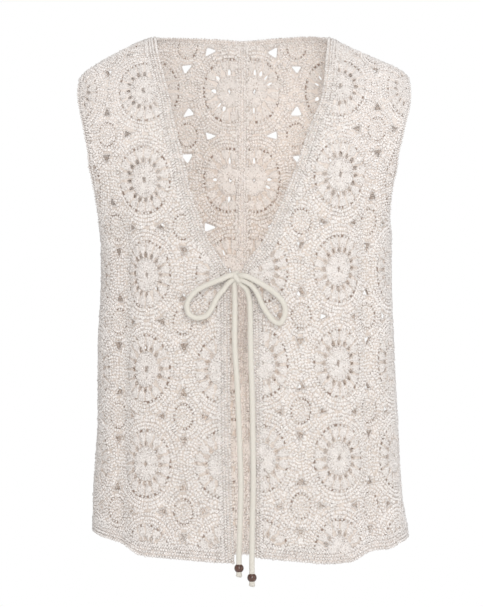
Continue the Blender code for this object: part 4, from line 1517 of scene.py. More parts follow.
@dataclass(frozen=True)
class Ground:
    """The crochet's thin closed ground, with its gaps cut through."""

    form: Form
    outline: Array
    pitch: float
    loops: list = field(default_factory=list)
    rise: Callable[[Array], Array] = lambda flat: np.zeros(len(flat))
    row_share: float = 0.866
    edge_share: float = 0.55
    gap_share: float = 0.36
    rounded: float = 0.0020

    def points(self) -> Array:
        """Fills the outline with a triangular net of points, clear of its loops.

        Returns:
            The points.
        """
        pitch = self.pitch
        low, high = self.outline.min(axis=0), self.outline.max(axis=0)
        points = []
        for k, along in enumerate(np.arange(low[1], high[1], pitch * self.row_share)):
            across = np.arange(low[0] + (k % 2) * pitch / 2, high[0], pitch)
            points.append(np.column_stack([across, np.full(len(across), along)]))
        points = np.vstack(points)
        points = points[inside(points, self.outline)]
        points = points[distance_to_loop(points, self.outline) > pitch * self.edge_share]
        return points[clear_of(points, self.loops, pitch * self.gap_share)]

    def triangles(self) -> tuple[Array, Array]:
        """Joins the points to triangles, none of them in a gap or outside the outline.

        Returns:
            The flat points and the triangles.
        """
        flat = [self.outline, *self.loops, self.points()]
        owners = np.concatenate([np.full(len(part), k) for k, part in enumerate(flat)])
        owners[owners == len(flat) - 1] = -1
        edges, first = [], 0
        for loop in flat[:-1]:
            count = len(loop)
            edges += [(first + k, first + (k + 1) % count) for k in range(count)]
            first += count
        spots = [Vector(spot) for spot in np.vstack(flat)]
        places, _, triangles, origins, _, _ = delaunay_2d_cdt(spots, edges, [], 0, 1e-7)
        spots = np.array([(place.x, place.y) for place in places])
        owner = np.array([owners[origin[0]] if origin else -1 for origin in origins])
        triangles = np.array(triangles)
        kinds = owner[triangles]
        same = (kinds[:, 0] == kinds[:, 1]) & (kinds[:, 1] == kinds[:, 2])
        lost = same & (kinds[:, 0] > 0)
        edge_only = same & (kinds[:, 0] == 0)
        lost[edge_only] = ~inside(spots[triangles].mean(axis=1)[edge_only], self.outline)
        kept = triangles[~lost]
        used = np.unique(kept)
        renumber = np.full(len(spots), -1)
        renumber[used] = np.arange(len(used))
        return spots[used], renumber[kept]

    def build(self, name: str, material: Material) -> Piece:
        """Makes the ground.

        Args:
            name: the piece's name.
            material: its finish.

        Returns:
            The piece.
        """
        spots, kept = self.triangles()
        near_edge = 1 - smooth_step(0.0, self.rounded, distance_to_loop(spots, self.outline))
        rounding = GROUND_ROUNDING * near_edge
        outer = self.form.read(spots, GROUND_OUTER - rounding + self.rise(spots))[0]
        inner = self.form.read(spots, GROUND_INNER + rounding)[0]
        normal = self.form.read(spots[kept[0, :1]], 0.0)[1][0]
        a, b, c = outer[kept[0]]
        if float(np.dot(np.cross(b - a, c - a), normal)) < 0:
            kept = kept[:, ::-1]
        count = len(spots)
        halves = np.vstack([kept[:, [0, 1]], kept[:, [1, 2]], kept[:, [2, 0]]]).astype(np.int64)
        rim = halves[~np.isin(halves @ (1, count), halves @ (count, 1))]
        faces = kept.tolist() + (kept[:, ::-1] + count).tolist()
        faces += [(b, a, a + count, b + count) for a, b in rim.tolist()]
        verts = np.vstack([outer, inner]).tolist()
        corners = np.array([corner for face in faces for corner in face])
        return smooth_piece(name, verts, faces, material, "flat", spots[corners % count])


class Nodes:
    """Short ways to build a node tree."""

    def __init__(self, tree: bpy.types.NodeTree) -> None:
        """Keeps the tree."""
        self.tree = tree

    def feed(self, socket: Socket, value: object) -> None:
        """Links a socket to another one, or sets it to a value.

        Args:
            socket: the socket.
            value: what it is fed.
        """
        if isinstance(value, Socket):
            self.tree.links.new(value, socket)
        else:
            socket.default_value = value

    def add(self, kind: str, inputs: dict | None = None, **settings: object) -> bpy.types.Node:
        """Adds a node.

        Args:
            kind: its type.
            inputs: what each of its sockets is fed.
            settings: its properties.

        Returns:
            The node.
        """
        node = self.tree.nodes.new(kind)
        for label, value in settings.items():
            setattr(node, label, value)
        for label, value in (inputs or {}).items():
            self.feed(node.inputs[label], value)
        return node

    def math(self, operation: str, *values: object) -> Socket:
        """One step of arithmetic on sockets or numbers."""
        return self.add("ShaderNodeMath", dict(enumerate(values)), operation=operation).outputs[0]

    def named(self, name: str, kind: str = "FLOAT_VECTOR") -> Socket:
        """Reads a named attribute of a geometry's points."""
        node = self.add("GeometryNodeInputNamedAttribute", {"Name": name}, data_type=kind)
        return node.outputs["Attribute"]


@dataclass(frozen=True)
class YarnTree:
    """Geometry nodes that lay yarn grains, strands and puffs on a cloud of points."""

    beads: tuple = (
        # shape, sides, rings
        (Yarn.GRAIN, 4, 3), (Yarn.STRAND, 6, 3), (Yarn.PUFF, 8, 5),
    )
    unevenness: float = 0.05
    seed: int = 11

    def inputs(self) -> list[tuple]:
        """Lists the tree's inputs.

        Returns:
            Each one's name, socket type and value.
        """
        listed = []
        for shape, *counts in self.beads:
            for part, count in zip(("sides", "rings"), counts):
                listed.append((f"{shape.name.capitalize()} {part}", "NodeSocketInt", count))
        listed.append(("Unevenness", "NodeSocketFloat", self.unevenness))
        return listed + [("Seed", "NodeSocketInt", self.seed), ("Yarn", "NodeSocketMaterial", None)]

    def build(self) -> bpy.types.NodeTree:
        """Builds the tree.

        Returns:
            A geometry node tree.
        """
        tree = bpy.data.node_groups.new("Crochet stitches", "GeometryNodeTree")
        for way in ("INPUT", "OUTPUT"):
            tree.interface.new_socket("Geometry", in_out=way, socket_type="NodeSocketGeometry")
        for name, kind, _ in self.inputs():
            tree.interface.new_socket(name, in_out="INPUT", socket_type=kind)
        n = Nodes(tree)
        given = n.add("NodeGroupInput").outputs
        shape = n.named("shape", "INT")
        ways = {"Primary Axis": n.named("ahead"), "Secondary Axis": n.named("outward")}
        turn = n.add("FunctionNodeAxesToRotation", ways, primary_axis="Z", secondary_axis="X")
        least, most = (n.math(step, 1.0, given["Unevenness"]) for step in ("SUBTRACT", "ADD"))
        limits = {2: least, 3: most, "Seed": given["Seed"]}
        draw = n.add("FunctionNodeRandomValue", limits, data_type="FLOAT").outputs[1]
        sizes = {0: n.named("half"), "Scale": draw}
        scale = n.add("ShaderNodeVectorMath", sizes, operation="SCALE")
        join = n.add("GeometryNodeJoinGeometry")
        for kind, *_ in self.beads:
            label = kind.name.capitalize()
            same = {2: shape, 3: kind.value}
            chosen = n.add("FunctionNodeCompare", same, data_type="INT", operation="EQUAL")
            counts = {"Segments": given[f"{label} sides"], "Rings": given[f"{label} rings"]}
            bead = n.add("GeometryNodeMeshUVSphere", {"Radius": 1.0, **counts}).outputs
            stored = {"Name": "yarn", "Geometry": bead["Mesh"], "Value": bead["UV Map"]}
            per_corner = dict(data_type="FLOAT2", domain="CORNER")
            chart = n.add("GeometryNodeStoreNamedAttribute", stored, **per_corner)
            laid = {
                "Points": given["Geometry"],
                "Selection": chosen.outputs["Result"],
                "Instance": chart.outputs["Geometry"],
                "Rotation": turn.outputs["Rotation"],
                "Scale": scale.outputs["Vector"],
            }
            lay = n.add("GeometryNodeInstanceOnPoints", laid)
            n.feed(join.inputs["Geometry"], lay.outputs["Instances"])
        last = join
        for step in ("RealizeInstances", "SetShadeSmooth", "SetMaterial"):
            last = n.add(f"GeometryNode{step}", {"Geometry": last.outputs["Geometry"]})
        n.feed(last.inputs["Material"], given["Yarn"])
        n.add("NodeGroupOutput", {"Geometry": last.outputs["Geometry"]})
        return tree

    def knit(
        self,
        name: str,
        form: Form,
        bag: Stitches,
        tree: bpy.types.NodeTree,
        yarn: Material,
    ) -> Piece:
        """Lays a bag of stitches on a form and makes them one mesh.

        Args:
            name: the piece's name.
            form: the form that they lie on.
            bag: the stitches.
            tree: the node tree.
            yarn: their material.

        Returns:
            The piece.
        """
        flat = bag.all("places")
        points, normals = form.read(flat, YARN_MIDDLE + bag.all("lifts"))
        mesh = bpy.data.meshes.new(name + "_points")
        mesh.from_pydata(points.tolist(), [], [])
        columns = (
            ("ahead", "FLOAT_VECTOR", "vector", form.direction(flat, bag.all("headings"))),
            ("outward", "FLOAT_VECTOR", "vector", normals),
            ("half", "FLOAT_VECTOR", "vector", bag.all("halves")),
            ("shade", "FLOAT", "value", bag.all("shades")),
            ("shape", "INT", "value", bag.all("shapes")),
        )
        for label, kind, slot, values in columns:
            number = np.int32 if kind == "INT" else np.float32
            column = mesh.attributes.new(label, kind, "POINT")
            column.data.foreach_set(slot, values.astype(number).ravel())
        cloud = new_piece(name + "_points", mesh)
        modifier = cloud.modifiers.new("Stitches", "NODES")
        modifier.node_group = tree
        items = tree.interface.items_tree
        sockets = {item.name: item for item in items if item.in_out == "INPUT"}
        for label, _, value in self.inputs():
            modifier[sockets[label].identifier] = yarn if label == "Yarn" else value
        bpy.context.view_layer.update()
        graph = bpy.context.evaluated_depsgraph_get()
        knitted = bpy.data.meshes.new_from_object(cloud.evaluated_get(graph))
        knitted.name = name
        for label in ("ahead", "outward", "half", "shape"):
            if label in knitted.attributes:
                knitted.attributes.remove(knitted.attributes[label])
        cloud.modifiers.remove(modifier)
        bpy.data.objects.remove(cloud)
        bpy.data.meshes.remove(mesh)
        return new_piece(name, knitted)


class ShaderNodes(Nodes):
    """Short ways to build a material's nodes."""

    def __init__(self, name: str) -> None:
        """Starts a material with a Principled shader.

        Args:
            name: the material's name.
        """
        self.material = bpy.data.materials.new(name)
        self.material.use_nodes = True
        super().__init__(self.material.node_tree)

    def here(self) -> Socket:
        """The object's own coordinates."""
        return self.add("ShaderNodeTexCoord").outputs["Object"]

    def column(self, name: str, output: str) -> Socket:
        """A named attribute of the mesh."""
        return self.add("ShaderNodeAttribute", attribute_name=name).outputs[output]

    def split(self, vector: Socket) -> bpy.types.bpy_prop_collection:
        """A vector's three parts."""
        return self.add("ShaderNodeSeparateXYZ", {0: vector}).outputs

    def chart(self, name: str) -> bpy.types.bpy_prop_collection:
        """The parts of a chart's places."""
        return self.split(self.add("ShaderNodeUVMap", uv_map=name).outputs["UV"])

    def mix(self, factor: object, first: object, second: object) -> Socket:
        """Mixes two colours."""
        inputs = {"Factor": factor, 6: first, 7: second}
        return self.add("ShaderNodeMix", inputs, data_type="RGBA").outputs[2]

    def noise(
        self, scale: float, detail: float, at: Socket | None = None
    ) -> Socket:
        """A noise over the object's own coordinates, or over other ones."""
        inputs = {"Vector": at or self.here(), "Scale": scale, "Detail": detail}
        return self.add("ShaderNodeTexNoise", inputs).outputs["Fac"]

    def ramp(self, value: object, low: float, high: float) -> Socket:
        """Stretches a value between two limits to 0 and 1.

        Args:
            value: the value.
            low: what becomes 0.
            high: what becomes 1.

        Returns:
            The stretched value.
        """
        inputs = {"Value": value, "From Min": low, "From Max": high}
        node = self.add("ShaderNodeMapRange", inputs, interpolation_type="SMOOTHSTEP")
        return node.outputs["Result"]

    def blotches(
        self, scale: float, detail: float, low: float, high: float
    ) -> Socket:
        """A noise stretched between two limits."""
        return self.ramp(self.noise(scale, detail), low, high)

    def bump(
        self, height: object, distance: float, strength: float, **onto: Socket
    ) -> Socket:
        """Makes a bump from a height, on top of another bump where one is given as Normal."""
        inputs = {"Height": height, "Distance": distance, "Strength": strength, **onto}
        return self.add("ShaderNodeBump", inputs).outputs["Normal"]

    def finish(self, inputs: dict) -> Material:
        """Feeds the shader.

        Args:
            inputs: what each of its sockets is fed.

        Returns:
            The material.
        """
        for label, value in inputs.items():
            self.feed(self.tree.nodes["Principled BSDF"].inputs[label], value)
        return self.material


@dataclass(frozen=True)
class YarnFinish:
    """Matte cotton yarn with a fine twist and fuzz: its tone differs at random from stitch to
    stitch, and painted shade darkens the buried puffs, each stitch's ends and small dots between
    the stitches.
    """

    name: str = "crochet_yarn"
    light: tuple = (0.890, 0.848, 0.818, 1.0)
    dark: tuple = (0.660, 0.614, 0.578, 1.0)
    warm: tuple = (0.810, 0.750, 0.712, 1.0)
    warm_share: float = 0.22
    mottling: tuple = (55.0, 2.0, 0.35, 0.65)
    # painted shade: the dark colour of the small dots between the stitches and of each stitch's
    # ends
    hole: tuple = (0.340, 0.255, 0.205, 1.0)
    shade_dot_spacing: float = 0.0031
    shade_dot_unevenness: float = 0.9
    shade_dot_limits: tuple = (0.14, 0.32)
    shade_dot_depth: float = 0.62
    end_shade_depth: float = 0.55
    end_shade_limits: tuple = (0.26, 0.42)
    plies: tuple = (4.0, 3.0)
    twist_bump: tuple = (0.00016, 0.9)
    fuzz: tuple = (1500.0, 3.0)
    fuzz_bump: tuple = (0.00030, 0.8)

    def build(self) -> Material:
        """Makes the material.

        Returns:
            The material.
        """
        n = ShaderNodes(self.name)
        mottle = n.math("MULTIPLY", n.blotches(*self.mottling), self.warm_share)
        # the shade attribute: a tone that differs at random from stitch to stitch, set low on the
        # buried puffs as painted shade
        colour = n.mix(n.column("shade", "Fac"), self.dark, self.light)
        colour = n.mix(mottle, colour, self.warm)
        # painted shade: small dark dots scattered between the stitches
        spots = {"Scale": 1.0 / self.shade_dot_spacing, "Randomness": self.shade_dot_unevenness}
        cells = n.add("ShaderNodeTexVoronoi", {"Vector": n.here(), **spots}).outputs["Distance"]
        hole = n.math("SUBTRACT", 1.0, n.ramp(cells, *self.shade_dot_limits))
        colour = n.mix(n.math("MULTIPLY", self.shade_dot_depth, hole), colour, self.hole)
        around, along, _ = n.split(n.column("yarn", "Vector"))
        from_middle = n.math("ABSOLUTE", n.math("SUBTRACT", along, 0.5))
        # painted shade: each stitch darkens towards its ends, where it tucks under its neighbours
        ends = n.math("MULTIPLY", n.ramp(from_middle, *self.end_shade_limits), self.end_shade_depth)
        parts = zip((around, along), self.plies)
        ply = n.math("ADD", *(n.math("MULTIPLY", part, count) for part, count in parts))
        twist = n.math("SINE", n.math("MULTIPLY", ply, 2 * math.pi))
        twisted = n.bump(twist, *self.twist_bump)
        return n.finish({
            "Base Color": n.mix(ends, colour, self.hole),
            "Normal": n.bump(n.noise(*self.fuzz), *self.fuzz_bump, Normal=twisted),
            "Roughness": 0.92,
            "Specular IOR Level": 0.20,
            "Sheen Weight": 0.18,
            "Sheen Roughness": 0.5,
        })


@dataclass(frozen=True)
class GroundFinish:
    """The crochet's ground between the stitches, lying deeper: coloured darker and warmer than the
    yarn as painted shade, with rings of painted dark dots for shade in the small gaps, and
    lightened by painted light towards the shoulders and on the strips.
    """

    name: str = "crochet_ground"
    # painted shade: the ground's colours are darker and warmer than the yarn's, for the shade
    # between the stitches
    light: tuple = (0.700, 0.628, 0.574, 1.0)
    dark: tuple = (0.550, 0.475, 0.420, 1.0)
    pit_shade: tuple = (0.230, 0.165, 0.130, 1.0)
    grain: tuple = (420.0, 2.0, 0.3, 0.7)
    grain_bump: tuple = (0.0006, 0.8)
    fuzz: tuple = (700.0, 3.0)
    pit_shade_depth: float = 0.9
    pit_shade_blotches: tuple = (130.0, 1.0, 0.36, 0.58)
    big_ring: float = 0.0011
    small_ring: float = 0.0007
    ring_fade: float = 0.0008
    # painted light: a lighter ground mixed in towards the shoulders on the panels, and evenly on
    # the strips
    painted_light_ground: tuple = (0.790, 0.726, 0.680, 1.0)
    painted_light_from: float = -0.17
    painted_light_to: float = -0.03
    painted_light_panel: float = 0.60
    flatter_strips: float = 0.55

    def ring(
        self, n: ShaderNodes, origin: tuple[float, float], radius: float, reach: float
    ) -> Socket:
        """A narrow ring about each of a lattice's centres, where dark dots are painted as shade in
        the small gaps.

        Args:
            n: the material's nodes.
            origin: one centre of the lattice.
            radius: the ring's radius.
            reach: half its width.

        Returns:
            1 on the ring, 0 off it.
        """
        pitches = ((PITCH_ACROSS, PITCH_ACROSS / SQUEEZE), (PITCH_ALONG, PITCH_ALONG))
        squares = []
        for place, start, (pitch, width) in zip(n.chart("flat"), origin, pitches):
            cell = n.math("DIVIDE", n.math("SUBTRACT", place, start), pitch)
            share = n.math("SUBTRACT", cell, n.math("ROUND", cell))
            away = n.math("MULTIPLY", share, width)
            squares.append(n.math("MULTIPLY", away, away))
        off = n.math("SUBTRACT", n.math("SQRT", n.math("ADD", *squares)), radius)
        off = n.ramp(n.math("ABSOLUTE", off), reach, reach + self.ring_fade)
        return n.math("MULTIPLY", n.math("SUBTRACT", 1.0, off), n.blotches(*self.pit_shade_blotches))

    def build(self, side: Side | None = None, face: Face | None = None) -> Material:
        """Makes the material of one panel, or of the plain strips where no panel is given.

        Args:
            side: the panel's side.
            face: the panel's face.

        Returns:
            The material.
        """
        n = ShaderNodes(f"{self.name}_{face.value}_{side.value}" if face else f"{self.name}_strips")
        # painted light: the ground is lightened towards the shoulders on the panels, and evenly on
        # the strips
        painted_light = n.ramp(n.split(n.here())[2], self.painted_light_from, self.painted_light_to)
        painted_light = n.math("MULTIPLY", painted_light, self.painted_light_panel) if face else self.flatter_strips
        colour = n.mix(n.blotches(*self.grain), self.dark, self.light)
        colour = n.mix(painted_light, colour, self.painted_light_ground)
        if face:
            first, row = FIRST_COLUMN[face.value], FIRST_ROW[face.value][side.value]
            between = (first + SMALL_COLUMN[face.value], row + PITCH_ALONG / 2)
            big = self.ring(n, (first, row), BigRound().crown, self.big_ring)
            small = self.ring(n, between, SmallRound().dots, self.small_ring)
            # painted shade: dark dots on the rings stand for the shade in the small gaps
            depth = n.math("MULTIPLY", n.math("MAXIMUM", big, small), self.pit_shade_depth)
            colour = n.mix(depth, colour, self.pit_shade)
        return n.finish({
            "Base Color": colour,
            "Normal": n.bump(n.noise(*self.fuzz), *self.grain_bump),
            "Roughness": 0.95,
            "Specular IOR Level": 0.15,
        })


@dataclass(frozen=True)
class CordFinish:
    """Smooth ivory cotton cord with a very fine braid, its grooves darkened by painted shade."""

    name: str = "ivory_cord"
    light: tuple = (0.690, 0.655, 0.590, 1.0)
    dark: tuple = (0.600, 0.562, 0.492, 1.0)
    strands: float = 16.0
    strands_a_metre: float = 700.0
    groove_shade_limits: tuple = (-0.8, 0.6)
    braid_bump: tuple = (0.00012, 0.6)
    worn: tuple = (90.0, 2.0)
    worn_share: float = 0.3
    fuzz: tuple = (1800.0, 2.0)
    fuzz_bump: tuple = (0.0002, 0.5)

    def build(self) -> Material:
        """Makes the material.

        Returns:
            The material.
        """
        n = ShaderNodes(self.name)
        around, along, _ = n.chart("braid")
        waves = []
        for way in (1.0, -1.0):
            lean = n.math("MULTIPLY", along, way * self.strands_a_metre)
            slant = n.math("ADD", n.math("MULTIPLY", around, self.strands), lean)
            waves.append(n.math("SINE", n.math("MULTIPLY", slant, 2 * math.pi)))
        braid = n.math("MULTIPLY", *waves)
        # painted shade: the colour darkens in the braid's grooves, where its bump is low
        colour = n.mix(n.ramp(braid, *self.groove_shade_limits), self.dark, self.light)
        worn = n.math("MULTIPLY", n.noise(*self.worn), self.worn_share)
        braided = n.bump(braid, *self.braid_bump)
        return n.finish({
            "Base Color": n.mix(worn, colour, self.light),
            "Normal": n.bump(n.noise(*self.fuzz), *self.fuzz_bump, Normal=braided),
            "Roughness": 0.82,
            "Specular IOR Level": 0.25,
            "Sheen Weight": 0.15,
        })


@dataclass(frozen=True)
class WoodFinish:
    """Dark polished wood with a fine grain down the bead."""

    name: str = "dark_wood"
    light: tuple = (0.120, 0.050, 0.030, 1.0)
    dark: tuple = (0.035, 0.013, 0.009, 1.0)
    stretch: tuple = (1.0, 1.0, 0.18)
    grain: tuple = (1400.0, 4.0)
    grain_limits: tuple = (0.35, 0.65)
    grain_bump: tuple = (0.00008, 0.5)

    def build(self) -> Material:
        """Makes the material.

        Returns:
            The material.
        """
        n = ShaderNodes(self.name)
        stretched = n.add("ShaderNodeMapping", {"Vector": n.here(), "Scale": self.stretch})
        grain = n.noise(*self.grain, stretched.outputs["Vector"])
        return n.finish({
            "Base Color": n.mix(n.ramp(grain, *self.grain_limits), self.dark, self.light),
            "Normal": n.bump(grain, *self.grain_bump),
            "Roughness": 0.30,
            "Coat Weight": 0.35,
            "Coat Roughness": 0.15,
        })


@dataclass(frozen=True)
class FloorFinish:
    """Plain pale studio floor."""

    name: str = "studio_floor"
    colour: tuple = (0.95, 0.95, 0.95, 1.0)

    def build(self) -> Material:
        """Makes the material."""
        return ShaderNodes(self.name).finish({"Base Color": self.colour, "Roughness": 0.9})


class Finishes:
    """The materials of the vest."""

    def __init__(self) -> None:
        """Makes them all."""
        self.ground = {None: GroundFinish().build()}
        for side in Side:
            for face in Face:
                self.ground[side, face] = GroundFinish().build(side, face)
        self.yarn = YarnFinish().build()
        self.cord = CordFinish().build()
        self.wood = WoodFinish().build()


# The corners of a four-sided face, as steps one way and the other.
QUAD = ((0, 0), (1, 0), (1, 1), (0, 1))


def smooth_route(points: Array, step: float, fineness: int = 24) -> Array:
    """Reads even points from one smooth curve through a route's points.

    Args:
        points: the route.
        step: how far apart to read.
        fineness: how many parts the curve has from point to point.

    Returns:
        The points of the curve.
    """
    ends = np.vstack([2 * points[0] - points[1], points, 2 * points[-1] - points[-2]])
    fine = []
    for p0, p1, p2, p3 in zip(ends[:-3], ends[1:-2], ends[2:-1], ends[3:]):
        for t in np.linspace(0.0, 1.0, fineness, endpoint=False):
            curve = 2 * p1 + (p2 - p0) * t + (2 * p0 - 5 * p1 + 4 * p2 - p3) * t * t
            fine.append(0.5 * (curve + (3 * p1 - p0 - 3 * p2 + p3) * t**3))
    return resampled(np.array([*fine, points[-1]]), step)


def tube(
    name: str, route: Array, radii: Array, sides: int, material: Material
) -> Piece:
    """Makes a round tube along a route, with rounded ends and a braid chart.

    Args:
        name: the piece's name.
        route: its centre line.
        radii: its radius at each point.
        sides: how many sides it has.
        material: its finish.

    Returns:
        The piece.
    """
    ahead = unit(np.gradient(route, axis=0))
    side = np.cross(ahead[0], (0.0, 1.0, 0.0))
    if np.linalg.norm(side) < 0.1:
        side = np.cross(ahead[0], (1.0, 0.0, 0.0))
    frames = []
    for way in ahead:
        side = side - way * float(np.dot(side, way))
        side = side / np.linalg.norm(side)
        frames.append(side)
    turns = (np.arange(sides) * 2 * math.pi / sides)[None, :, None]
    frames, ups = np.array(frames)[:, None], np.cross(ahead, frames)[:, None]
    rings = route[:, None] + radii[:, None, None] * (frames * np.cos(turns) + ups * np.sin(turns))
    verts = np.vstack([rings.reshape(-1, 3), route[:1], route[-1:]]).tolist()
    count = len(route)
    walked = walked_along(route)
    faces, chart = [], []
    for i in range(count - 1):
        for k in range(sides):
            faces.append([(i + up) * sides + (k + on) % sides for on, up in QUAD])
            chart += [((k + on) / sides, walked[i + up]) for on, up in QUAD]
    for centre, ring in ((count * sides, 0), (count * sides + 1, count - 1)):
        for k in range(sides):
            corners = [ring * sides + k, ring * sides + (k + 1) % sides, centre]
            faces.append(corners if ring else corners[::-1])
            chart += [(k / sides, walked[ring])] * 3
    return smooth_piece(name, verts, faces, material, "braid", chart)


def turned_piece(
    name: str, centre: tuple, profile: list, sides: int, material: Material
) -> Piece:
    """Makes a closed solid of revolution about an upright axis, open down its middle.

    Args:
        name: the piece's name.
        centre: its centre.
        profile: radius and height of a closed loop of points, anticlockwise.
        sides: how many sides it has.
        material: its finish.

    Returns:
        The piece.
    """
    x, y, z = centre
    verts, faces = [], []
    count = len(profile)
    for k in range(sides):
        turn = 2 * math.pi * k / sides
        for i, (radius, height) in enumerate(profile):
            verts.append((x + radius * math.cos(turn), y + radius * math.sin(turn), z + height))
            faces.append([(k + on) % sides * count + (i + up) % count for on, up in QUAD])
    return smooth_piece(name, verts, faces, material, "braid")


def adopt(piece: Piece, slot: str, *nodes: str) -> Piece:
    """Makes a piece ride on the body and hides the solids that it stands for.

    Args:
        piece: the piece.
        slot: not used.
        nodes: the solids.

    Returns:
        The piece.
    """
    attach(piece, BODY_NAME)
    if nodes:
        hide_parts(*nodes)
    LOG.info("%s: %d faces", piece.name, len(piece.data.polygons))
    return piece


@dataclass
class Ties:
    """The two cord ties, knotted in a bow, each with a bead and an end knot."""

    finishes: Finishes
    step: float = 0.0014
    sides: int = 14
    into: tuple = (0.0008, 0.0010, 0.0012)
    out_of: tuple = (0.0, 0.0002, -0.0008)
    root_share: float = 0.86
    tip_share: float = 0.5
    in_end_knot: float = 0.0022
    bore: float = 0.0021
    bore_lip: float = 0.06
    bore_inset: float = 0.0004
    bead_sides: int = 28
    bead_rings: int = 14
    wound_turns: float = 1.35
    wound_points: int = 44
    wound_radius: float = 0.0017
    wound_tip: float = 0.0008
    wound_inset: float = 0.0030
    wound_sides: int = 10
    wrap_span: tuple = (0.35, 2 * math.pi - 0.15)
    wrap_points: int = 60
    wrap_half: tuple = (0.0016, 0.0041, 0.0046)
    wrap_lean: float = -28.0
    wrap_share: float = 0.95

    def route(self, side: Side) -> Array:
        """Reads the whole line of one tie: root, loop and hanging end, through the knot.

        Args:
            side: which tie.

        Returns:
            Its points.
        """
        root, loop, end = (np.array(routes[side.value]) for routes in (ROOTS, LOOPS, ENDS))
        into = np.array(KNOT_CENTRE) + np.array(self.into) * (side.sign, 1.0, 1.0)
        out_of = np.array(KNOT_CENTRE) + np.array(self.out_of)
        tail = end[-1] - (0.0, 0.0, 2 * BEAD_RADIUS + END_KNOT_LENGTH - self.in_end_knot)
        return np.vstack([root[::-1], into, loop, out_of, end, tail])

    def bead_profile(self) -> list:
        """Draws a bead's profile, round the outside and back down its bore.

        Returns:
            Radius and height of its points.
        """
        start = math.asin(self.bore / BEAD_RADIUS) + self.bore_lip
        profile = []
        for k in range(self.bead_rings + 1):
            turn = math.pi - start - (math.pi - 2 * start) * k / self.bead_rings
            profile.append((BEAD_RADIUS * math.sin(turn), BEAD_RADIUS * math.cos(turn)))
        height = profile[-1][1]
        inner = height - self.bore_inset, -height + self.bore_inset
        return profile + [(self.bore, at) for at in inner]

    def build_tie(self, side: Side) -> tuple[Piece, Array, list]:
        """Makes one tie with what is on it.

        Args:
            side: which tie.

        Returns:
            The cord, its path, and the pieces on it.
        """
        name = side.value
        path = smooth_route(self.route(side), self.step)
        radii = np.full(len(path), CORD / 2)
        radii[[0, -1]] *= self.root_share, self.tip_share
        cord = tube(f"{name}_tie", path, radii, self.sides, self.finishes.cord)
        adopt(cord, "cord", f"tie_root_{name}", f"tie_loop_{name}", f"tie_end_{name}")
        x, y, z = ENDS[name][-1]
        drop = math.sqrt(BEAD_RADIUS**2 - BEAD_FACE**2)
        middle = z - BEAD_GAP - drop
        wood, profile = self.finishes.wood, self.bead_profile()
        bead = turned_piece(f"{name}_bead", (x, y, middle), profile, self.bead_sides, wood)
        adopt(bead, "bead", f"bead_{name}")
        top = middle - drop - BEAD_GAP
        knot = self.end_knot(f"{name}_end_knot", (x, y, top - END_KNOT_LENGTH / 2))
        adopt(knot, "cord", f"end_knot_{name}")
        return cord, path, [bead, knot]

    def end_knot(self, name: str, centre: tuple) -> Piece:
        """Makes a small knot: one turn of cord wound closely round the tie's end.

        Args:
            name: the piece's name.
            centre: its centre.

        Returns:
            The piece.
        """
        x, y, z = centre
        turns = np.linspace(0.0, 2 * math.pi * self.wound_turns, self.wound_points)
        rise = (turns / turns[-1] - 0.5) * (END_KNOT_LENGTH - self.wound_inset)
        around, ahead = self.wound_radius * np.cos(turns), self.wound_radius * np.sin(turns)
        route = np.column_stack([x + around, y + ahead, z + rise])
        radii = np.full(len(route), self.wound_radius)
        radii[[0, -1]] = self.wound_tip
        return tube(name, route, radii, self.wound_sides, self.finishes.cord)

    def bow_knot(self) -> Piece:
        """Makes the bow's knot: a turn of cord round the crossing, leaning as it is pulled.

        Returns:
            The piece.
        """
        turns = np.linspace(*self.wrap_span, self.wrap_points)
        wide, deep, high = self.wrap_half
        x, y, z = wide * np.cos(turns / 2), np.sin(turns) * deep, np.cos(turns) * high
        lean = math.radians(self.wrap_lean)
        cos, sin = math.cos(lean), math.sin(lean)
        route = np.column_stack([x * cos + z * sin, y, -x * sin + z * cos])
        radii = np.full(len(route), CORD / 2 * self.wrap_share)
        radii[[0, -1]] *= self.tip_share
        route = route + np.array(KNOT_CENTRE)
        return tube("bow_knot_wrap", route, radii, self.sides, self.finishes.cord)

    def build(self) -> None:
        wrap = adopt(self.bow_knot(), "cord", "bow_knot")
        for side in Side:
            cord, path, on_it = self.build_tie(side)
            if side is Side.LEFT:
                on_it.append(wrap)


@dataclass
class Edging:
    """Rows of stitches worked along an edge."""

    row: float = 0.0031
    stitch: float = 0.0030
    slant: float = 0.32
    half: tuple = (0.0020, 0.0017)
    length_share: float = 0.62
    past_edge: float = 0.0006
    row_start: float = 0.25
    shade: float = 0.7
    lift: float = 0.0002
    spread: Spread = Spread(turn=0.0, place=0.00022, heading=0.22, shade=0.2, lift=0.00025)

    def rows_along(
        self, bag: Stitches, line_at: Callable[[float], Array], width: float
    ) -> None:
        """Adds rows across a strip.

        Args:
            bag: takes the stitches.
            line_at: gives the edge moved in by a distance.
            width: the strip's width.
        """
        rng, spread = bag.rng, self.spread
        count = max(1, int(round(width / self.row)))
        for k in range(count + 1):
            distance = min((k + 0.5) * width / count, width)
            if k == 0:
                distance -= self.past_edge
            start = self.row_start * to_and_fro(k)
            places, headings = even_points(line_at(distance), self.stitch, start)
            headings = headings + math.pi / 2 + self.slant * to_and_fro(k)
            headings = headings + rng.normal(0, spread.heading, len(places))
            places = places + rng.normal(0, spread.place, places.shape)
            half = (*self.half, width / count * self.length_share)
            shades = bag.shades(self.shade, spread.shade, len(places))
            lifts = rng.normal(self.lift, spread.lift, len(places))
            bag.add(places, headings, half, lifts, Yarn.GRAIN, shades)


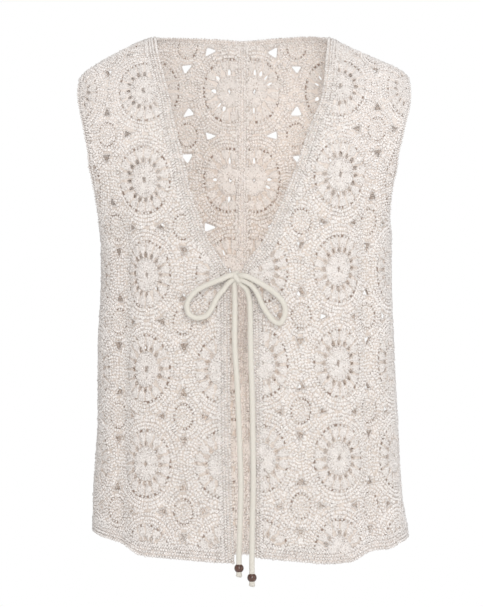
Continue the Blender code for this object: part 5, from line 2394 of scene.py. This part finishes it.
@dataclass
class Quarter:
    """One side and face of the vest: its panel, edgings and stitches."""

    side: Side
    face: Face
    finishes: Finishes
    tree: bpy.types.NodeTree
    seed: int
    pitch: float = 0.0050
    strip_pitch: float = 0.0044
    seam_stitch: float = 0.0032
    seam_half: tuple = (0.0018, 0.0013, 0.0026)
    seam_slant: tuple = (0.25, 0.1)
    seam_lift: float = -0.0001
    seam_shade: float = 0.45
    seam_ends: tuple = (0.002, 0.006, 0.003)
    ribs: int = 5
    rib_stitch: float = 0.0029
    rib_shift: float = 0.0014
    rib_start: float = 0.001
    rib_slant: float = 0.60
    rib_half: tuple = (0.0021, 0.0017, 0.0024)
    rib_lift: float = 0.0004
    rib_shade: float = 0.78
    rib_spread: Spread = Spread(turn=0.0, place=0.0004, heading=0.30, shade=0.2, lift=0.0)

    def __post_init__(self) -> None:
        """Works out the form and the cutting lines."""
        self.rng = np.random.default_rng(self.seed)
        self.form = Form(self.side, self.face)
        self.cut = Cut(self.form)
        self.label = f"{self.face.value}_{self.side.value}"

    def solid(self, name: str) -> str:
        """Name of one of this quarter's solids."""
        return f"{self.face.value}_{name}_{self.side.value}"

    def strip(self, name: str, outline: Array, node: str) -> Piece:
        """Makes the ground of an edging and puts it in its solid's place."""
        ground = Ground(self.form, outline, self.strip_pitch)
        return adopt(ground.build(name, self.finishes.ground[None]), "crochet", node)

    def knit(self, name: str, bag: Stitches) -> Piece:
        """Knits a bag of stitches.

        Args:
            name: the end of the piece's name.
            bag: the stitches.

        Returns:
            The piece.
        """
        name = f"{self.label}_{name}"
        knitted = YarnTree().knit(name, self.form, bag, self.tree, self.finishes.yarn)
        return adopt(knitted, "crochet")

    def strips(self) -> list[tuple]:
        """Lists the strips.

        Returns:
            Each one's name, outline and solid.
        """
        cut = self.cut
        strips = [
            (f"{self.label}_hem_band", cut.hem_band(), self.solid("hem_band")),
            (f"{self.label}_armhole", cut.armhole_edging(), self.solid("armhole_edging")),
        ]
        if self.face is Face.FRONT:
            return [*strips, (f"{self.label}_edging", cut.edging(), self.solid("edging"))]
        strips.append((f"{self.label}_neck", cut.edging(), self.solid("neck_edging")))
        if self.side is Side.LEFT:
            strips.append(("centre_back_rib", cut.seam_strip(), "centre_back_seam"))
        return strips

    def edging_stitches(self) -> Stitches:
        """Gathers the stitches of the edgings, the hem band and the seams.

        Returns:
            The stitches.
        """
        bag = Stitches(self.rng)
        cut, rows_along = self.cut, Edging().rows_along
        start, _ = cut.hem_starts()
        rows_along(bag, lambda distance: cut.hem_offset(distance, start), HEM_WIDTH)
        rows_along(bag, cut.armhole_offset, ARMHOLE_EDGING)
        rows_along(bag, cut.edge_offset, cut.edge_width)
        if self.face is Face.FRONT:
            self.seam_stitches(bag)
        elif self.side is Side.LEFT:
            self.centre_stitches(bag)
        return bag

    def seam_stitches(self, bag: Stitches) -> None:
        """Adds the stitches that join front and back at the side and the shoulder.

        Args:
            bag: takes the stitches.
        """
        cut = self.cut
        low, high, inset = self.seam_ends
        ends = (line(inset)[-1][0] for line in (cut.armhole_offset, cut.edge_offset))
        seams = (
            (cut.side_line(cut.side_hem + low, UNDERARM - high), 0.0),
            (cut.shoulder_line(*ends), math.pi / 2),
        )
        for line, heading in seams:
            places, _ = even_points(line, self.seam_stitch)
            headings = heading + self.rng.normal(*self.seam_slant, len(places))
            look = (self.seam_half, self.seam_lift, Yarn.GRAIN, self.seam_shade)
            bag.add(places, headings, *look)

    def centre_stitches(self, bag: Stitches) -> None:
        """Adds the ribs of the centre back seam.

        Args:
            bag: takes the stitches.
        """
        spread = self.rib_spread
        top = float(self.cut.edge_offset(0.0)[0][1])
        heights = np.arange(self.cut.hem_at(0.0) + self.rib_start, top, self.rib_stitch)
        for k, across in enumerate(np.linspace(-0.5, 0.5, self.ribs) * SEAM_STRIP):
            places = upright(across, heights + (k % 2) * self.rib_shift)
            places = places + self.rng.normal(0, spread.place, places.shape)
            headings = math.pi / 2 + self.rib_slant * to_and_fro(k)
            headings = headings + self.rng.normal(0, spread.heading, len(heights))
            lift = self.rib_lift if k == self.ribs // 2 else 0.0
            shades = bag.shades(self.rib_shade, spread.shade, len(heights))
            bag.add(places, headings, self.rib_half, lift, Yarn.GRAIN, shades)

    def build(self) -> None:
        outline = self.cut.panel()
        lace = Lace(self.side, self.face, outline, int(self.rng.integers(1_000_000)))
        gaps = lace.eyes + lace.gaps
        cloth = Ground(self.form, outline, self.pitch, gaps, lace.rise)
        ground = cloth.build(f"{self.label}_lace", self.finishes.ground[self.side, self.face])
        adopt(ground, "crochet", self.solid("panel"))
        stitches = lace.stitches()
        LOG.info("%s: %d stitches, %d gaps", self.label, len(stitches.all("places")), len(gaps))
        parts = [self.knit("stitches", stitches)]
        parts += [self.strip(*strip) for strip in self.strips()]
        parts.append(self.knit("edge_stitches", self.edging_stitches()))


@dataclass
class Studio:
    """The camera, the lights and the floor."""

    eye: tuple = (-0.0005, -3.8, -0.2789)
    frame_height: float = 0.6677
    frame_distance: float = 3.75
    sensor: float = 36.0
    floor_height: float = -1.25
    floor_reach: float = 4.0
    ambient: float = 0.55
    white: tuple = (1.0, 1.0, 1.0)
    sky: tuple = (0.94, 0.97, 1.0)
    inner: tuple = (1.0, 0.93, 0.87)
    aim: tuple = (0.0, 0.0, -0.28)
    soft_boxes: tuple = (
        # name, place, size, power, tint
        ("key", (0.45, -3.4, 1.0), 1.2, 38.0, white),
        ("front", (0.05, -3.9, -0.10), 0.5, 33.0, white),
        ("side_left", (2.3, -0.7, 0.0), 1.4, 8.0, sky),
        ("side_right", (-2.3, -0.7, 0.0), 1.4, 3.0, white),
        ("back", (-0.6, 3.0, 1.0), 2.0, 34.0, white),
        ("sky", (0.1, -0.9, 1.9), 1.0, 7.0, sky),
    )
    collar_place: tuple = (-0.90, -2.7, 0.45)
    collar_aim: tuple = (0.0, 0.05, -0.06)
    collar_beam: float = 9.0
    collar_size: float = 0.30
    collar_power: float = 36.0
    inner_lamps: tuple = (
        # across, height, share of the power
        (0.07, -0.10, 1.0), (0.06, -0.25, 1.5), (0.00, -0.40, 1.9), (0.00, -0.52, 1.9),
    )
    inner_size: float = 0.04
    inner_power: float = 0.066

    def camera(self) -> None:
        """Sets the camera square in front of the vest."""
        data = bpy.data.cameras.new("camera")
        data.sensor_fit = "VERTICAL"
        data.sensor_height = self.sensor
        data.lens = self.sensor * self.frame_distance / self.frame_height
        camera = new_piece("camera", data)
        camera.location = self.eye
        camera.rotation_euler = (math.pi / 2, 0.0, 0.0)
        bpy.context.scene.camera = camera

    def lamp(self, name: str, kind: str, place: tuple, aim: tuple, **settings: object) -> None:
        """Adds a light that faces a point of the vest, itself unseen.

        Args:
            name: its name.
            kind: its type.
            place: where it stands.
            aim: the point that it faces.
            settings: its properties.
        """
        data = bpy.data.lights.new(name, kind)
        for label, value in settings.items():
            setattr(data, label, value)
        lamp = new_piece(name, data)
        lamp.location = place
        lamp.rotation_euler = (Vector(aim) - Vector(place)).to_track_quat("-Z", "Y").to_euler()
        lamp.visible_camera = False

    def lights(self) -> None:
        """Adds the soft boxes, a beam into the neck, and weak lights in the hollow."""
        for name, place, size, power, tint in self.soft_boxes:
            box = dict(shape="DISK", size=size, energy=power, color=tint)
            self.lamp(name, "AREA", place, self.aim, **box)
        beam = dict(spot_size=math.radians(self.collar_beam), spot_blend=1.0)
        beam.update(shadow_soft_size=self.collar_size, energy=self.collar_power)
        self.lamp("collar", "SPOT", self.collar_place, self.collar_aim, **beam)
        glow = dict(shadow_soft_size=self.inner_size, color=self.inner)
        for k, (across, height, share) in enumerate(self.inner_lamps):
            power = self.inner_power * share
            self.lamp(f"inner_{k}", "POINT", (across, 0.0, height), self.aim, energy=power, **glow)

    def surroundings(self) -> None:
        """Makes the surroundings, white to the camera and dimmer as light."""
        world = bpy.data.worlds.new("studio")
        world.use_nodes = True
        n = Nodes(world.node_tree)
        seen = n.add("ShaderNodeLightPath").outputs["Is Camera Ray"]
        limits = {"Value": seen, "To Min": self.ambient, "To Max": 1.0}
        strength = n.add("ShaderNodeMapRange", limits).outputs["Result"]
        ground = n.tree.nodes["Background"]
        n.feed(ground.inputs["Color"], (*self.white, 1.0))
        n.feed(ground.inputs["Strength"], strength)
        bpy.context.scene.world = world
        bpy.context.scene.view_settings.view_transform = "Standard"

    def floor(self) -> None:
        """Makes the floor."""
        mesh = bpy.data.meshes.new("floor")
        low, high = -self.floor_reach, self.floor_reach
        corners = ((low, low), (high, low), (high, high), (low, high))
        mesh.from_pydata([(*corner, self.floor_height) for corner in corners], [], [(0, 1, 2, 3)])
        mesh.materials.append(FloorFinish().build())
        floor = new_piece("floor", mesh)

    def build(self) -> None:
        """Makes the lights, the surroundings and the floor."""
        self.surroundings()
        self.lights()
        self.floor()


def main() -> None:
    """Builds the vest piece by piece."""
    logging.basicConfig(level=logging.INFO, format="%(name)s: %(message)s")
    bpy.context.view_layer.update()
    studio = Studio()
    studio.camera()
    finishes = Finishes()
    Ties(finishes).build()
    tree = YarnTree().build()
    seeds = iter((101, 202, 303, 404))
    for side in Side:
        for face in Face:
            Quarter(side, face, finishes, tree, next(seeds)).build()
    studio.build()


if __name__ == "__main__":
    main()
